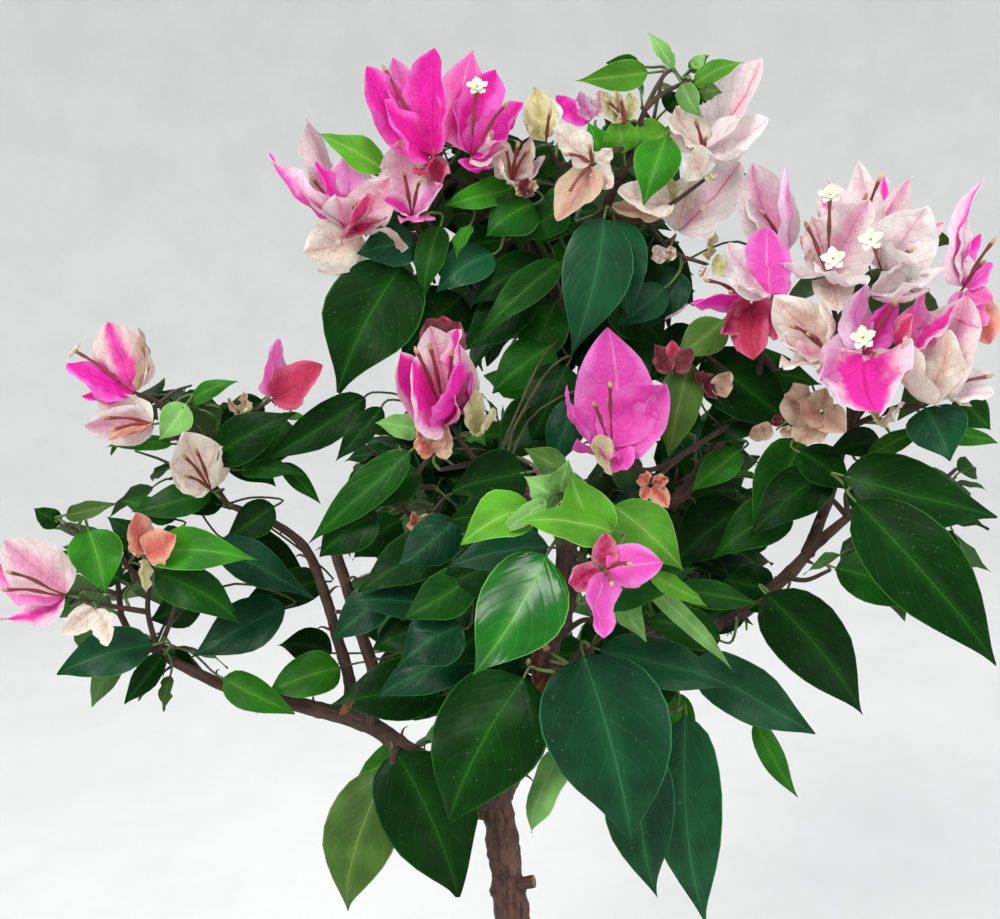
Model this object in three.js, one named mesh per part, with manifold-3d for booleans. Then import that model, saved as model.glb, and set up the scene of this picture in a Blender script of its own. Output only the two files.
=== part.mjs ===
// A bougainvillea bush in a plain round pot. Millimetres, +Z up, origin at the centre of the pot's flat foot.
// One node each: pot, soil, trunk, every bough and leader, and every mass of twigs, leaves and blossom.

import * as THREE from "three";
import { mergeVertices } from "three/addons/utils/BufferGeometryUtils.js";
import Module from "manifold-3d";

const wasm = await Module();
wasm.setup();

// Driving sizes
const POT = {
  height: 170, foot: 66, waist: 91, rim: 100, bore: 92, wall: 6, floor: 10, rimHeight: 24,
  step: 4, // the wall below the rim's band ends this far under it
  lip: 2, // rounding of the rim's outer edge
  segments: 28,
};
const SOIL_LEVEL = 150;
const GAP = 0.3; // clear space between neighbouring solids
const TRIES = 6; // joints that a new twig may try to leave from, the nearest first
const SMOOTH = [0.5, 0.4, 0.3, 0.2, 0.1, 0.05]; // slivers are smoothed within the first that is sound
const TRUNK = {
  foot: 9.6,
  fork: 7.2,
  flare: 6.5,
  flareHeight: 11, // over this height the flare falls to a third
  knots: [[0.45, 0.19, 0], [0.3, 0.47, 1]], // swell, turns for each millimetre of height, start
  sides: 10,
  steps: 14,
  low: [[0, 0, SOIL_LEVEL + GAP], [1.5, 1, 205], [-2.5, 0.5, 255]], // millimetres
  high: [[510, 895, 0], [503, 845, 0], [496, 792, 0]], // as the viewer sees them
};
const BOUGH = { sides: 6, stepsPerPlace: 1.5, taper: 0.8 };
const STEM = { radius: 1.8, straight: 12, depth: 0.65, sides: 4 }; // depth: a share of the way to the middle
const TWIG = { foot: 1.5, tip: 0.75, past: 2, swing: 0.16, bend: 0.45, sides: 3, runs: 2 };
const JOINTS = [0.25, 0.48, 0.72, 0.95]; // shares of a twig's length where leaves and other twigs leave it
const SHOOT = { near: 0.46, far: 0.62 }; // how far a shoot of the rule goes through its space
const LEAF = { length: 52, shrink: 0.3, ratio: 0.52, thick: 0.9, fold: 0.12, arch: 0.06 };
const STALK = { plain: 9, longest: 30, ahead: 0.4 }; // ahead: least share of a stalk that runs the leaf's way
const LEAF_SET = {
  atTip: 2, turn: 137.5, open: 62, second: 0.8, secondOpen: 31, hang: 0.3, droop: 0.12, outward: 0.55,
  shares: [1, 0.85, 0.7], // a leaf that would leave its space is tried again at these shares of its length
};
const BRACT = { ratio: 0.66, thick: 0.8, fold: 0.16, arch: -0.1, spread: 20, rise: 27, lift: 0.4, count: 3 };

// The viewer stands in front of the bush and looks a little down. A place on the plant is given as it looks
// from there: u to the right and v down, 1000 to the focal length, and y, its depth in millimetres.
const VIEWER = {
  eye: new THREE.Vector3(5, -450, 600), pitch: 10.7, roll: 3.9, focal: 1000, u: 500, v: 459.5,
  light: 0.35, // how far a face held towards the viewer turns up to the light
};

// Limbs: the limb that carries each, its radius at both ends, and the places it runs through
const LIMBS = {
  bough_left: ["trunk", 6.0, 2.4, [[490, 800, 0], [445, 772, 2], [405, 750, 4], [368, 724, 5], [300, 705, 5],
    [240, 692, 0], [180, 665, -5], [158, 652, -6]]],
  bough_left_inner: ["bough_left", 3.3, 2.0, [[371, 725, 5], [375, 680, 0], [360, 630, -5], [345, 580, -8],
    [335, 542, -8], [352, 516, -8], [392, 498, -8]]],
  bough_left_outer: ["bough_left", 3.3, 1.9, [[345, 718, 5], [350, 685, 12], [338, 640, 14], [325, 595, 14],
    [305, 548, 12], [270, 521, 10], [228, 505, 8]]],
  bough_left_low: ["bough_left", 2.4, 1.7, [[432, 766, 3], [420, 762, -8], [408, 757, -16]]],
  leader_front: ["trunk", 7.0, 4.8, [[495, 792, 0], [520, 750, -22], [546, 705, -42], [545, 652, -50],
    [560, 618, -48], [573, 590, -42]]],
  leader_middle: ["leader_front", 4.8, 3.5, [[558, 622, -48], [566, 560, -25], [558, 490, -5], [546, 420, 8],
    [543, 352, 15]]],
  leader_top: ["leader_middle", 3.4, 2.2, [[544, 362, 14], [562, 300, 14], [588, 245, 8], [604, 210, 4],
    [622, 174, 0]]],
  bough_top_left: ["leader_middle", 2.8, 1.8, [[544, 360, 14], [505, 312, 14], [460, 268, 8], [425, 246, 4]]],
  bough_top_mid: ["leader_top", 2.5, 1.7, [[560, 302, 14], [540, 262, 24], [522, 232, 24], [505, 214, 20]]],
  bough_low_front: ["leader_front", 2.6, 1.8, [[546, 682, -46], [560, 678, -60], [574, 664, -66]]],
  bough_middle: ["leader_middle", 2.8, 1.8, [[563, 530, -15], [535, 508, -36], [508, 488, -48]]],
  bough_inner: ["leader_middle", 2.6, 1.8, [[566, 575, -28], [592, 572, -8], [620, 566, 4], [640, 556, 8]]],
  bough_right_low: ["leader_front", 4.6, 2.6, [[547, 692, -42], [592, 655, -28], [650, 632, -14], [722, 624, 0],
    [785, 577, -5], [815, 545, -12], [848, 517, -18]]],
  bough_right_hang: ["bough_right_low", 2.2, 1.6, [[700, 628, -4], [706, 650, -12], [714, 672, -16]]],
  bough_right_rise: ["bough_right_low", 2.6, 2.0, [[808, 553, -10], [828, 500, -22], [838, 462, -28],
    [850, 428, -30]]],
  bough_right_high: ["leader_middle", 3.8, 2.3, [[562, 520, -13], [620, 522, 0], [675, 500, 5],
    [702, 468, 5], [732, 424, 0], [756, 392, -6]]],
  bough_back_left: ["trunk", 4.6, 2.8, [[494, 812, 0], [470, 765, 34], [446, 690, 58], [432, 610, 76]]],
  bough_back_right: ["trunk", 4.6, 2.8, [[496, 806, 0], [530, 755, 36], [600, 680, 60], [650, 610, 78]]],
  bough_back_high: ["leader_middle", 3.6, 2.4, [[556, 470, 0], [560, 430, 40], [566, 385, 60],
    [563, 345, 72]]],
};

// Masses: the limb that carries each, the middle of its space, the half-sizes of that space in mm,
// and the number of shoots the rule gives it
const MASSES = {
  left_low: ["bough_left", [112, 600, -8], [78, 58, 58], 7],
  left_high: ["bough_left_outer", [200, 450, 6], [66, 52, 50], 7],
  left_inner: ["bough_left_inner", [385, 520, -10], [52, 50, 70], 6],
  left_hang: ["bough_left_low", [392, 815, -22], [42, 34, 50], 2],
  top_left: ["bough_top_left", [378, 240, 0], [52, 50, 62], 6],
  top_mid: ["bough_top_mid", [480, 195, 18], [54, 54, 56], 6],
  top_right: ["leader_top", [655, 160, -4], [60, 54, 54], 7],
  front_high: ["bough_middle", [500, 450, -62], [58, 40, 60], 6],
  inner: ["bough_inner", [668, 520, 22], [54, 38, 60], 5],
  front_mid: ["leader_front", [560, 540, -96], [66, 40, 50], 4],
  front_low: ["bough_low_front", [585, 770, -76], [76, 34, 74], 3],
  right_head: ["bough_right_high", [735, 330, -12], [56, 46, 60], 5],
  right_crown: ["bough_right_rise", [880, 320, -40], [62, 52, 60], 5],
  right_low: ["bough_right_low", [890, 530, -50], [64, 56, 52], 4],
  right_hang: ["bough_right_hang", [765, 668, -24], [56, 44, 46], 4],
  back_left: ["bough_back_left", [448, 515, 94], [62, 64, 84], 10],
  back_right: ["bough_back_right", [668, 520, 96], [70, 64, 80], 10],
  back_top: ["bough_back_high", [565, 280, 84], [78, 60, 66], 9],
};

// Leaves that stand out in their mass: the place of the leaf's foot, the place of its tip, and its width
const LEAVES = {
  left_low: [
    [[88, 530, -34], [105, 594, -44], 20], [[150, 545, -26], [256, 569, -34], 20],
    [[146, 566, -20], [241, 629, -30], 22],
    [[285, 604, -2], [196, 651, -16], 24], [[150, 648, -20], [56, 679, -30], 17],
    [[214, 676, -15], [294, 712, -22], 16],
  ],
  left_high: [
    [[212, 458, -6], [292, 413, -10], 22], [[212, 492, 0], [132, 511, -6], 17],
    [[224, 538, 26], [312, 592, 22], 22],
    [[190, 402, 2], [240, 380, 0], 11],
  ],
  left_inner: [
    [[365, 398, 0], [264, 456, -8], 18], [[410, 456, -20], [304, 536, -28], 16],
    [[426, 545, -24], [352, 602, -34], 22],
    [[428, 612, -30], [345, 604, -36], 16], [[335, 690, 4], [268, 694, -6], 20],
  ],
  left_hang: [[[402, 760, -24], [464, 900, -36], 38], [[388, 776, -14], [344, 914, -26], 27]],
  top_left: [
    [[402, 268, -6], [334, 392, -16], 37], [[378, 168, 2], [317, 137, 0], 13],
    [[418, 248, -6], [360, 262, -14], 18],
    [[440, 226, -6], [424, 297, -14], 14],
  ],
  top_mid: [[[492, 254, 0], [436, 292, -8], 19], [[560, 262, -6], [477, 337, -14], 15]],
  top_right: [
    [[606, 214, -14], [577, 354, -30], 38], [[660, 60, 0], [648, 30, 0], 6],
    [[648, 74, -2], [577, 82, -6], 13],
    [[692, 76, 0], [750, 60, -2], 10], [[650, 130, -8], [642, 206, -16], 18],
  ],
  front_high: [
    [[526, 472, -66], [454, 492, -74], 20], [[470, 575, -60], [402, 614, -70], 20],
    [[462, 626, -64], [396, 668, -72], 24],
  ],
  front_mid: [
    [[556, 560, -104], [476, 675, -118], 28], [[530, 502, -98], [455, 524, -106], 14],
    [[566, 506, -96], [524, 470, -100], 15],
    [[602, 546, -98], [577, 470, -102], 18], [[612, 510, -86], [692, 574, -96], 21],
  ],
  front_low: [
    [[536, 676, -74], [450, 822, -88], 38], [[576, 656, -76], [630, 842, -92], 47],
    [[634, 742, -66], [657, 903, -74], 30],
    [[690, 712, -56], [711, 930, -62], 25], [[550, 764, -62], [530, 832, -66], 14],
  ],
  right_head: [
    [[702, 358, -8], [798, 428, -16], 28], [[690, 362, -14], [668, 462, -22], 19],
    [[724, 320, -10], [678, 358, -16], 16],
  ],
  right_crown: [[[925, 410, -50], [950, 462, -58], 20], [[960, 398, -52], [998, 428, -56], 14]],
  right_low: [
    [[858, 500, -66], [1000, 666, -92], 36], [[842, 470, -54], [1000, 516, -76], 31],
    [[832, 568, -30], [942, 606, -42], 23],
    [[822, 476, -24], [749, 537, -32], 24],
  ],
  right_hang: [
    [[776, 590, -24], [865, 717, -38], 39], [[700, 690, -24], [818, 733, -34], 26],
    [[752, 720, -10], [798, 797, -14], 17],
  ],
};

// Blooms in view: the place where their bracts join, then the places of the bracts' tips
const BLOOMS = {
  left_low: [
    [[70, 592, -30], [[6, 540, -40], [0, 620, -44], [-14, 580, -24]]],
    [[148, 552, -32], [[139, 511, -38], [174, 536, -40], [138, 582, -40]]],
    [[92, 620, -34], [[64, 634, -40], [120, 638, -40]]],
  ],
  left_high: [
    [[134, 388, -8], [[105, 321, -14], [68, 363, -22], [140, 326, 0]]],
    [[156, 424, -12], [[85, 430, -22], [110, 404, -20], [122, 440, -6]]],
    [[218, 490, -8], [[184, 434, -16], [168, 470, -12], [222, 448, -14]]],
    [[272, 394, -2], [[279, 337, -8], [320, 366, -10], [300, 398, 4]]],
  ],
  top_left: [
    [[344, 216, -10], [[304, 118, -18], [268, 152, -14], [382, 160, -16]]],
    [[370, 228, -12], [[326, 272, -26], [300, 232, -22], [410, 246, -14]]],
    [[424, 212, -4], [[404, 142, -12], [441, 180, -12], [388, 196, -14]]],
  ],
  top_mid: [
    [[432, 152, 0], [[400, 57, -6], [367, 69, -2], [436, 50, 4]]],
    [[468, 152, -2], [[478, 52, -8], [522, 104, -10], [440, 128, -16]]],
    [[512, 180, -2], [[500, 128, -10], [545, 150, -10], [505, 204, -12]]],
  ],
  top_right: [
    [[543, 140, -8], [[530, 86, -14], [554, 100, -10], [520, 124, -14]]],
    [[590, 165, -12], [[551, 128, -20], [617, 150, -20], [560, 221, -22]]],
    [[594, 118, 10], [[556, 96, 14], [604, 92, 4]]],
    [[704, 142, -8], [[762, 57, -16], [769, 122, -18], [664, 112, -14]]],
    [[690, 206, -12], [[738, 170, -20], [712, 233, -20], [611, 196, -16]]],
  ],
  front_high: [[[448, 416, -72], [[398, 348, -86], [424, 327, -82], [460, 332, -84], [471, 400, -88]]]],
  right_head: [
    [[612, 440, -40], [[612, 326, -56], [663, 384, -58], [565, 384, -58]]],
    [[772, 278, -20], [[753, 162, -28], [789, 164, -24], [728, 252, -34]]],
    [[754, 304, -22], [[688, 302, -34], [733, 358, -36], [788, 230, -40]]],
  ],
  front_mid: [[[608, 574, -112], [[664, 562, -124], [568, 582, -124], [604, 640, -128]]]],
  right_crown: [
    [[846, 250, -38], [[858, 158, -44], [816, 205, -54], [790, 286, -56]]],
    [[892, 246, -42], [[914, 178, -48], [943, 214, -56], [946, 274, -58]]],
    [[852, 344, -50], [[780, 296, -62], [800, 364, -66], [866, 284, -64]]],
    [[888, 368, -56], [[822, 392, -72], [956, 306, -66], [908, 408, -74]]],
    [[958, 300, -44], [[978, 178, -50], [1004, 256, -50], [1008, 345, -56]]],
    [[944, 372, -54], [[1002, 384, -62], [962, 420, -62], [904, 338, -68]]],
    [[812, 410, -44], [[782, 396, -54], [790, 436, -52], [848, 438, -56]]],
  ],
};

// Masses at the back, where every third shoot ends in a bloom, so that the bush flowers on every side
const BACK = ["back_left", "back_right", "back_top"];
const BLOOM_EVERY = 3;

const COLOURS = {
  clay: [0xb5714a, 0.85],
  soil: [0x4a382b, 0.95],
  bark: [0x6b4a36, 0.9],
  foliage: [0x2c6a30, 0.5],
};

function seen([u, v, depth]) {
  const pitch = THREE.MathUtils.degToRad(VIEWER.pitch);
  const roll = THREE.MathUtils.degToRad(VIEWER.roll);
  const upright = new THREE.Vector3(0, Math.sin(pitch), Math.cos(pitch));
  const right = new THREE.Vector3(Math.cos(roll), 0, 0).addScaledVector(upright, -Math.sin(roll));
  const up = new THREE.Vector3(Math.sin(roll), 0, 0).addScaledVector(upright, Math.cos(roll));
  const ray = new THREE.Vector3(0, Math.cos(pitch), -Math.sin(pitch)).multiplyScalar(VIEWER.focal);
  ray.addScaledVector(right, u - VIEWER.u).addScaledVector(up, VIEWER.v - v);
  return ray.multiplyScalar((depth - VIEWER.eye.y) / ray.y).add(VIEWER.eye);
}

// Small seeded generator, so that the plant is the same each time
function seeded(text) {
  let state = 0;
  for (const letter of text) state = (Math.imul(state, 31) + letter.charCodeAt(0)) >>> 0;
  return () => {
    state = (state + 0x6d2b79f5) >>> 0;
    let t = Math.imul(state ^ (state >>> 15), state | 1);
    t = (t + Math.imul(t ^ (t >>> 7), t | 61)) ^ t;
    return ((t ^ (t >>> 14)) >>> 0) / 4294967296;
  };
}

// Solids

function solidOf(geometry) {
  geometry.deleteAttribute("normal");
  geometry.deleteAttribute("uv");
  const merged = mergeVertices(geometry, 1e-4);
  const index = merged.index.array;
  const faces = [];
  for (let i = 0; i < index.length; i += 3) {
    const [a, b, c] = [index[i], index[i + 1], index[i + 2]];
    if (a !== b && b !== c && c !== a) faces.push(a, b, c);
  }
  const mesh = () => new wasm.Mesh({
    numProp: 3,
    vertProperties: new Float32Array(merged.attributes.position.array),
    triVerts: new Uint32Array(faces),
  });
  const made = new wasm.Manifold(mesh());
  if (made.volume() > 0) return made;
  for (let i = 0; i < faces.length; i += 3) [faces[i + 1], faces[i + 2]] = [faces[i + 2], faces[i + 1]];
  return new wasm.Manifold(mesh());
}

function geometryOf(points, faces) {
  return new THREE.BufferGeometry()
    .setAttribute("position", new THREE.Float32BufferAttribute(points.flatMap((p) => [p.x, p.y, p.z]), 3))
    .setIndex(faces);
}

// A closed skin over rings of equal count; a ring of one point closes to a tip
function loft(rings) {
  const points = rings.flat();
  const faces = [];
  let start = 0;
  for (let i = 0; i + 1 < rings.length; i++) {
    const [here, next] = [rings[i].length, rings[i + 1].length];
    for (let k = 0; k < here; k++) {
      const [a, b] = [start + k, start + ((k + 1) % here)];
      if (next === 1) faces.push(a, b, start + here);
      else if (here > 1) {
        const [c, d] = [start + here + k, start + here + ((k + 1) % here)];
        faces.push(a, b, d, a, d, c);
      }
    }
    if (here === 1) {
      for (let k = 0; k < next; k++) faces.push(start, start + 1 + ((k + 1) % next), start + 1 + k);
    }
    start += here;
  }
  const [first, last] = [rings[0], rings[rings.length - 1]];
  for (let k = 1; k + 1 < first.length; k++) faces.push(0, k + 1, k);
  for (let k = 1; k + 1 < last.length; k++) faces.push(start, start + k, start + k + 1);
  return solidOf(geometryOf(points, faces));
}

function smooth(places) {
  return new THREE.CatmullRomCurve3(places, false, "catmullrom", 0.5);
}

// A tapering limb along a smooth curve; grow widens it evenly, to cut its neighbours clear of it
function limb(places, radiusAt, sides, steps, grow = 0) {
  const curve = smooth(places);
  const frames = [];
  let side = null;
  for (let i = 0; i <= steps; i++) {
    const tangent = curve.getTangent(i / steps);
    if (!side) side = new THREE.Vector3(1, 0, 0);
    side = side.clone().addScaledVector(tangent, -side.dot(tangent)).normalize();
    frames.push([curve.getPoint(i / steps), tangent, side, tangent.clone().cross(side)]);
  }
  const ends = [frames[0], frames[steps]];
  if (grow) {
    ends[0][0].addScaledVector(ends[0][1], -grow);
    ends[1][0].addScaledVector(ends[1][1], grow);
  }
  const rings = frames.map(([centre, , across, aside], i) => {
    const radius = radiusAt(i / steps, centre) + grow / Math.cos(Math.PI / sides);
    return Array.from({ length: sides }, (_, k) => {
      const turn = (2 * Math.PI * k) / sides;
      const spoke = across.clone().multiplyScalar(Math.cos(turn)).addScaledVector(aside, Math.sin(turn));
      return centre.clone().addScaledVector(spoke, radius);
    });
  });
  return loft(rings);
}

// Biggest closed body of a union, with any sealed hollow filled
function wholeBody(solid) {
  const bodies = solid.decompose();
  return bodies.reduce((best, body) => (body.volume() > best.volume() ? body : best));
}

// Whether each edge still has just two faces once corners that lie together are one
function isSound(solid) {
  const { vertProperties, triVerts, numProp } = solid.getMesh();
  const ids = new Map();
  const corner = Array.from(triVerts, (v) => {
    const key = [0, 1, 2].map((axis) => vertProperties[v * numProp + axis].toFixed(3)).join();
    if (!ids.has(key)) ids.set(key, ids.size);
    return ids.get(key);
  });
  const uses = new Map();
  for (let i = 0; i < corner.length; i += 3) {
    const face = corner.slice(i, i + 3);
    if (new Set(face).size < 3) continue;
    face.forEach((a, k) => {
      const edge = [a, face[(k + 1) % 3]].sort((m, n) => m - n).join();
      uses.set(edge, (uses.get(edge) ?? 0) + 1);
    });
  }
  return [...uses.values()].every((count) => count === 2);
}

// Trunk and boughs

function trunkPlaces() {
  return [...TRUNK.low.map((place) => new THREE.Vector3(...place)), ...TRUNK.high.map(seen)];
}

function trunkRadius(t, centre) {
  const height = centre.z - SOIL_LEVEL;
  const flare = TRUNK.flare * Math.exp(-height / TRUNK.flareHeight);
  const swells = TRUNK.knots.map(([size, rate, start]) => size * Math.sin(height * rate + start));
  return THREE.MathUtils.lerp(TRUNK.foot, TRUNK.fork, t) + flare + swells[0] + swells[1];
}

function limbRadius(foot, tip) {
  return (t) => THREE.MathUtils.lerp(foot, tip, Math.pow(t, BOUGH.taper));
}

// The trunk ends in a flat cut on the soil
function makeTrunk(grow = 0) {
  const solid = limb(trunkPlaces(), trunkRadius, TRUNK.sides, TRUNK.steps, grow);
  const below = new THREE.BoxGeometry(POT.rim, POT.rim, POT.height);
  below.translate(0, 0, SOIL_LEVEL + GAP - POT.height / 2);
  return solid.subtract(solidOf(below));
}

function makeBough(name, grow = 0) {
  const [, foot, tip, places] = LIMBS[name];
  const steps = Math.ceil(BOUGH.stepsPerPlace * (places.length - 1));
  return limb(places.map(seen), limbRadius(foot, tip), BOUGH.sides, steps, grow);
}

// Leaves and bracts: a blade of three-cornered sections, folded along its midrib

// A root is where its stalk starts in the wood: a point for a plain leaf, a small section for a broad one
function blade(root, foot, tip, width, face, { thick, fold, arch }, stations) {
  const along = tip.clone().sub(foot);
  const length = along.length();
  along.normalize();
  const normal = face.clone().addScaledVector(along, -face.dot(along)).normalize();
  const side = along.clone().cross(normal);
  const section = (centre, half, keel) => [
    centre.clone().addScaledVector(side, half).addScaledVector(normal, fold * half),
    centre.clone().addScaledVector(side, -half).addScaledVector(normal, fold * half),
    centre.clone().addScaledVector(normal, -keel),
  ];
  const rings = [];
  if (root) rings.push(stations[0][0] ? [root] : section(root, TWIG.tip, TWIG.tip));
  rings.push(...stations.map(([t, share]) => {
    const centre = foot.clone().addScaledVector(along, t * length);
    centre.addScaledVector(normal, arch * length * 4 * t * (1 - t));
    return section(centre, Math.max(TWIG.tip, (share * width) / 2), t ? thick : TWIG.tip);
  }));
  rings.push([tip]);
  return loft(rings);
}

// Shares of a leaf's width at shares of its length
const BROAD = [[0, 0], [0.16, 0.78], [0.42, 1], [0.74, 0.56]];
const SLIM = [[0.38, 1]];
const ROUND = [[0.36, 0.94], [0.7, 0.8]];

// Which way a leaf's upper face looks: out of the crown towards the light, for one held towards the viewer
function faceToViewer(place) {
  return VIEWER.eye.clone().sub(place).normalize().add(new THREE.Vector3(0, 0, VIEWER.light)).normalize();
}

// What is already in place, to keep each mass in its own space
const taken = [];

function boxOf(solid) {
  const { min, max } = solid.boundingBox();
  return new THREE.Box3(new THREE.Vector3(...min), new THREE.Vector3(...max));
}

function isClear(solid, owner) {
  const box = boxOf(solid).expandByScalar(GAP);
  return !taken.some((other) => other.owner !== owner && other.box.intersectsBox(box)
    && solid.minGap(other.solid, 1) < GAP);
}

function take(solid, owner) {
  taken.push({ solid, owner, box: boxOf(solid) });
}

// Masses

class Mass {
  constructor(name) {
    [this.limb, this.middle, this.reach, this.shoots] = MASSES[name];
    this.name = name;
    this.middle = seen(this.middle);
    this.random = seeded(name);
    this.joints = []; // places on its twigs that a new twig can leave from
    this.parts = [];
    this.blades = [];
  }

  add(solid) {
    if (!isClear(solid, this.name)) return false;
    this.parts.push(solid);
    take(solid, this.name);
    return true;
  }

  // A leaf of the rule's own is left out where it would cross another leaf of its mass
  crosses(solid) {
    const box = boxOf(solid);
    return this.blades.some((other) => other.box.intersectsBox(box) && solid.minGap(other.solid, 1) < GAP);
  }

  holds(place) {
    const d = place.clone().sub(this.middle);
    return Math.hypot(d.x / this.reach[0], d.y / this.reach[1], d.z / this.reach[2]) < 1;
  }

  // Joints lie on the straight runs between a twig's rings, so that what leaves from them is sunk in its wood
  remember(places) {
    const corners = smooth(places).getPoints(TWIG.runs);
    for (const share of JOINTS) {
      const run = Math.floor(share * TWIG.runs);
      const [from, to] = [corners[run], corners[run + 1]];
      const at = from.clone().lerp(to, share * TWIG.runs - run);
      this.joints.push({ at, way: to.clone().sub(from).normalize() });
    }
  }

  // The one stem, from just clear of the bough's tip into the space
  grow() {
    const places = LIMBS[this.limb][3].map(seen);
    const tip = places[places.length - 1];
    const way = tip.clone().sub(places[places.length - 2]).normalize();
    const start = tip.clone().addScaledVector(way, 2 * GAP);
    const bend = start.clone().addScaledVector(way, STEM.straight);
    const end = bend.clone().lerp(this.middle, STEM.depth);
    const stem = [start, bend, end];
    this.parts.push(limb(stem, limbRadius(STEM.radius, TWIG.foot), STEM.sides, TWIG.runs));
    take(this.parts[0], this.name);
    this.remember(stem);
    this.joints.shift();
  }

  nearest(place) {
    const joints = this.joints.map((joint) => [joint, joint.at.distanceTo(place)]);
    return joints.sort((a, b) => a[1] - b[1]).slice(0, TRIES);
  }

  // A twig to a place, from the nearest joint that leaves it clear
  reachTo(place) {
    for (const [joint, distance] of this.nearest(place)) {
      const swing = joint.at.clone().lerp(place, TWIG.bend).addScaledVector(joint.way, TWIG.swing * distance);
      // The twig runs past its place, so that what starts there is sunk in its tip
      const past = place.clone().sub(swing).setLength(TWIG.past);
      const places = [joint.at.clone(), swing, place.clone().add(past)];
      const twig = limb(places, limbRadius(TWIG.foot, TWIG.tip), TWIG.sides, TWIG.runs);
      if (this.add(twig)) {
        this.remember(places);
        return true;
      }
    }
    return false;
  }

  leaf(root, foot, tip, width, face, stations, crossing = false) {
    const open = blade(null, foot, tip, width, face, LEAF, stations);
    if (!crossing && this.crosses(open)) return false;
    if (!this.add(root ? blade(root, foot, tip, width, face, LEAF, stations) : open)) return false;
    this.blades.push({ solid: open, box: boxOf(open) });
    return true;
  }

  namedLeaves() {
    for (const [from, to, width] of LEAVES[this.name] ?? []) {
      const [foot, tip] = [seen(from), seen(to)];
      const face = faceToViewer(foot);
      const along = tip.clone().sub(foot).normalize();
      const held = this.nearest(foot).some(([joint, distance]) => distance < STALK.longest
        && foot.clone().sub(joint.at).dot(along) > STALK.ahead * distance
        && this.leaf(joint.at, foot, tip, width, face, BROAD, true));
      if (!held && this.reachTo(foot)) this.leaf(null, foot, tip, width, face, BROAD, true);
    }
  }

  namedBlooms() {
    for (const [from, tips] of BLOOMS[this.name] ?? []) {
      const heart = seen(from);
      if (!this.reachTo(heart)) continue;
      const ends = tips.map(seen);
      const axis = faceToViewer(heart);
      for (const end of ends) axis.add(end.clone().sub(heart).normalize());
      for (const end of ends) this.bract(heart, end, axis.clone().normalize());
    }
  }

  bract(heart, tip, face) {
    const solid = blade(heart, heart, tip, BRACT.ratio * tip.distanceTo(heart), face, BRACT, ROUND);
    if (this.add(solid)) this.blades.push({ solid, box: boxOf(solid) });
  }

  // Shoots spread evenly through the space, each with leaves in turn round it
  fill() {
    const turn = this.random() * 2 * Math.PI;
    for (let i = 0; i < this.shoots; i++) {
      const height = 1 - (2 * (i + 0.5)) / this.shoots;
      const around = turn + i * Math.PI * (3 - Math.sqrt(5));
      const flat = Math.sqrt(1 - height * height);
      const share = SHOOT.near + (SHOOT.far - SHOOT.near) * this.random();
      const tip = this.middle.clone().add(new THREE.Vector3(
        flat * Math.cos(around) * this.reach[0] * share,
        flat * Math.sin(around) * this.reach[1] * share,
        height * this.reach[2] * share,
      ));
      const before = this.joints.length;
      if (!this.reachTo(tip) || this.joints.length === before) continue;
      const shoot = this.joints.slice(before);
      this.leavesOn(shoot);
      if (BACK.includes(this.name) && i % BLOOM_EVERY === 0) this.spareBloom(shoot[shoot.length - 1]);
    }
  }

  leavesOn(shoot) {
    const start = this.random() * 360;
    shoot.forEach(({ at, way: along }, k) => {
      const pair = k === shoot.length - 1 ? LEAF_SET.atTip : 1;
      for (let n = 0; n < pair; n++) {
        const turn = THREE.MathUtils.degToRad(start + (k + n) * LEAF_SET.turn);
        const size = LEAF.length * (1 - LEAF.shrink * this.random()) * (n ? LEAF_SET.second : 1);
        const lean = THREE.MathUtils.degToRad(n ? LEAF_SET.secondOpen : LEAF_SET.open);
        const radial = new THREE.Vector3(Math.cos(turn), Math.sin(turn), 0);
        radial.addScaledVector(along, -radial.dot(along)).normalize();
        const heading = along.clone().multiplyScalar(Math.cos(lean)).addScaledVector(radial, Math.sin(lean));
        heading.z -= LEAF_SET.hang;
        heading.normalize();
        const foot = at.clone().addScaledVector(heading, STALK.plain);
        const way = heading.clone().setZ(heading.z - LEAF_SET.droop);
        const tipOf = (length) => foot.clone().addScaledVector(way, length);
        const lengths = LEAF_SET.shares.map((share) => share * size);
        const length = lengths.find((choice) => this.holds(tipOf(choice)));
        const outward = at.clone().sub(this.middle).setZ(0).normalize();
        const face = new THREE.Vector3(0, 0, 1).addScaledVector(outward, LEAF_SET.outward);
        if (length) this.leaf(at, foot, tipOf(length), length * LEAF.ratio, face, SLIM);
      }
    });
  }

  spareBloom({ at, way }) {
    const out = at.clone().sub(this.middle).normalize().add(new THREE.Vector3(0, 0, BRACT.lift)).normalize();
    const across = out.clone().cross(way).normalize();
    for (let k = 0; k < BRACT.count; k++) {
      const spread = across.clone().applyAxisAngle(out, (2 * Math.PI * k) / BRACT.count);
      const tip = at.clone().addScaledVector(spread, BRACT.spread).addScaledVector(out, BRACT.rise);
      this.bract(at, tip, out);
    }
  }

  solid() {
    const whole = wholeBody(wasm.Manifold.union(this.parts)).asOriginal();
    const tries = SMOOTH.map((within) => wholeBody(whole.simplify(within)));
    return tries.find(isSound);
  }
}

// Pot and soil

function turned(profile) {
  const points = profile.map(([radius, height]) => new THREE.Vector2(radius, height));
  return solidOf(new THREE.LatheGeometry(points, POT.segments).rotateX(Math.PI / 2));
}

function makePot() {
  const { height, foot, waist, rim, bore, wall, floor, rimHeight, step, lip } = POT;
  const band = height - rimHeight;
  return turned([
    [0, 0], [foot, 0], [waist, band - step], [rim, band + lip], [rim, height - 1.5 * lip],
    [rim - lip, height], [bore, height], [waist - wall, band - step], [foot - wall, floor], [0, floor],
  ]);
}

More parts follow.
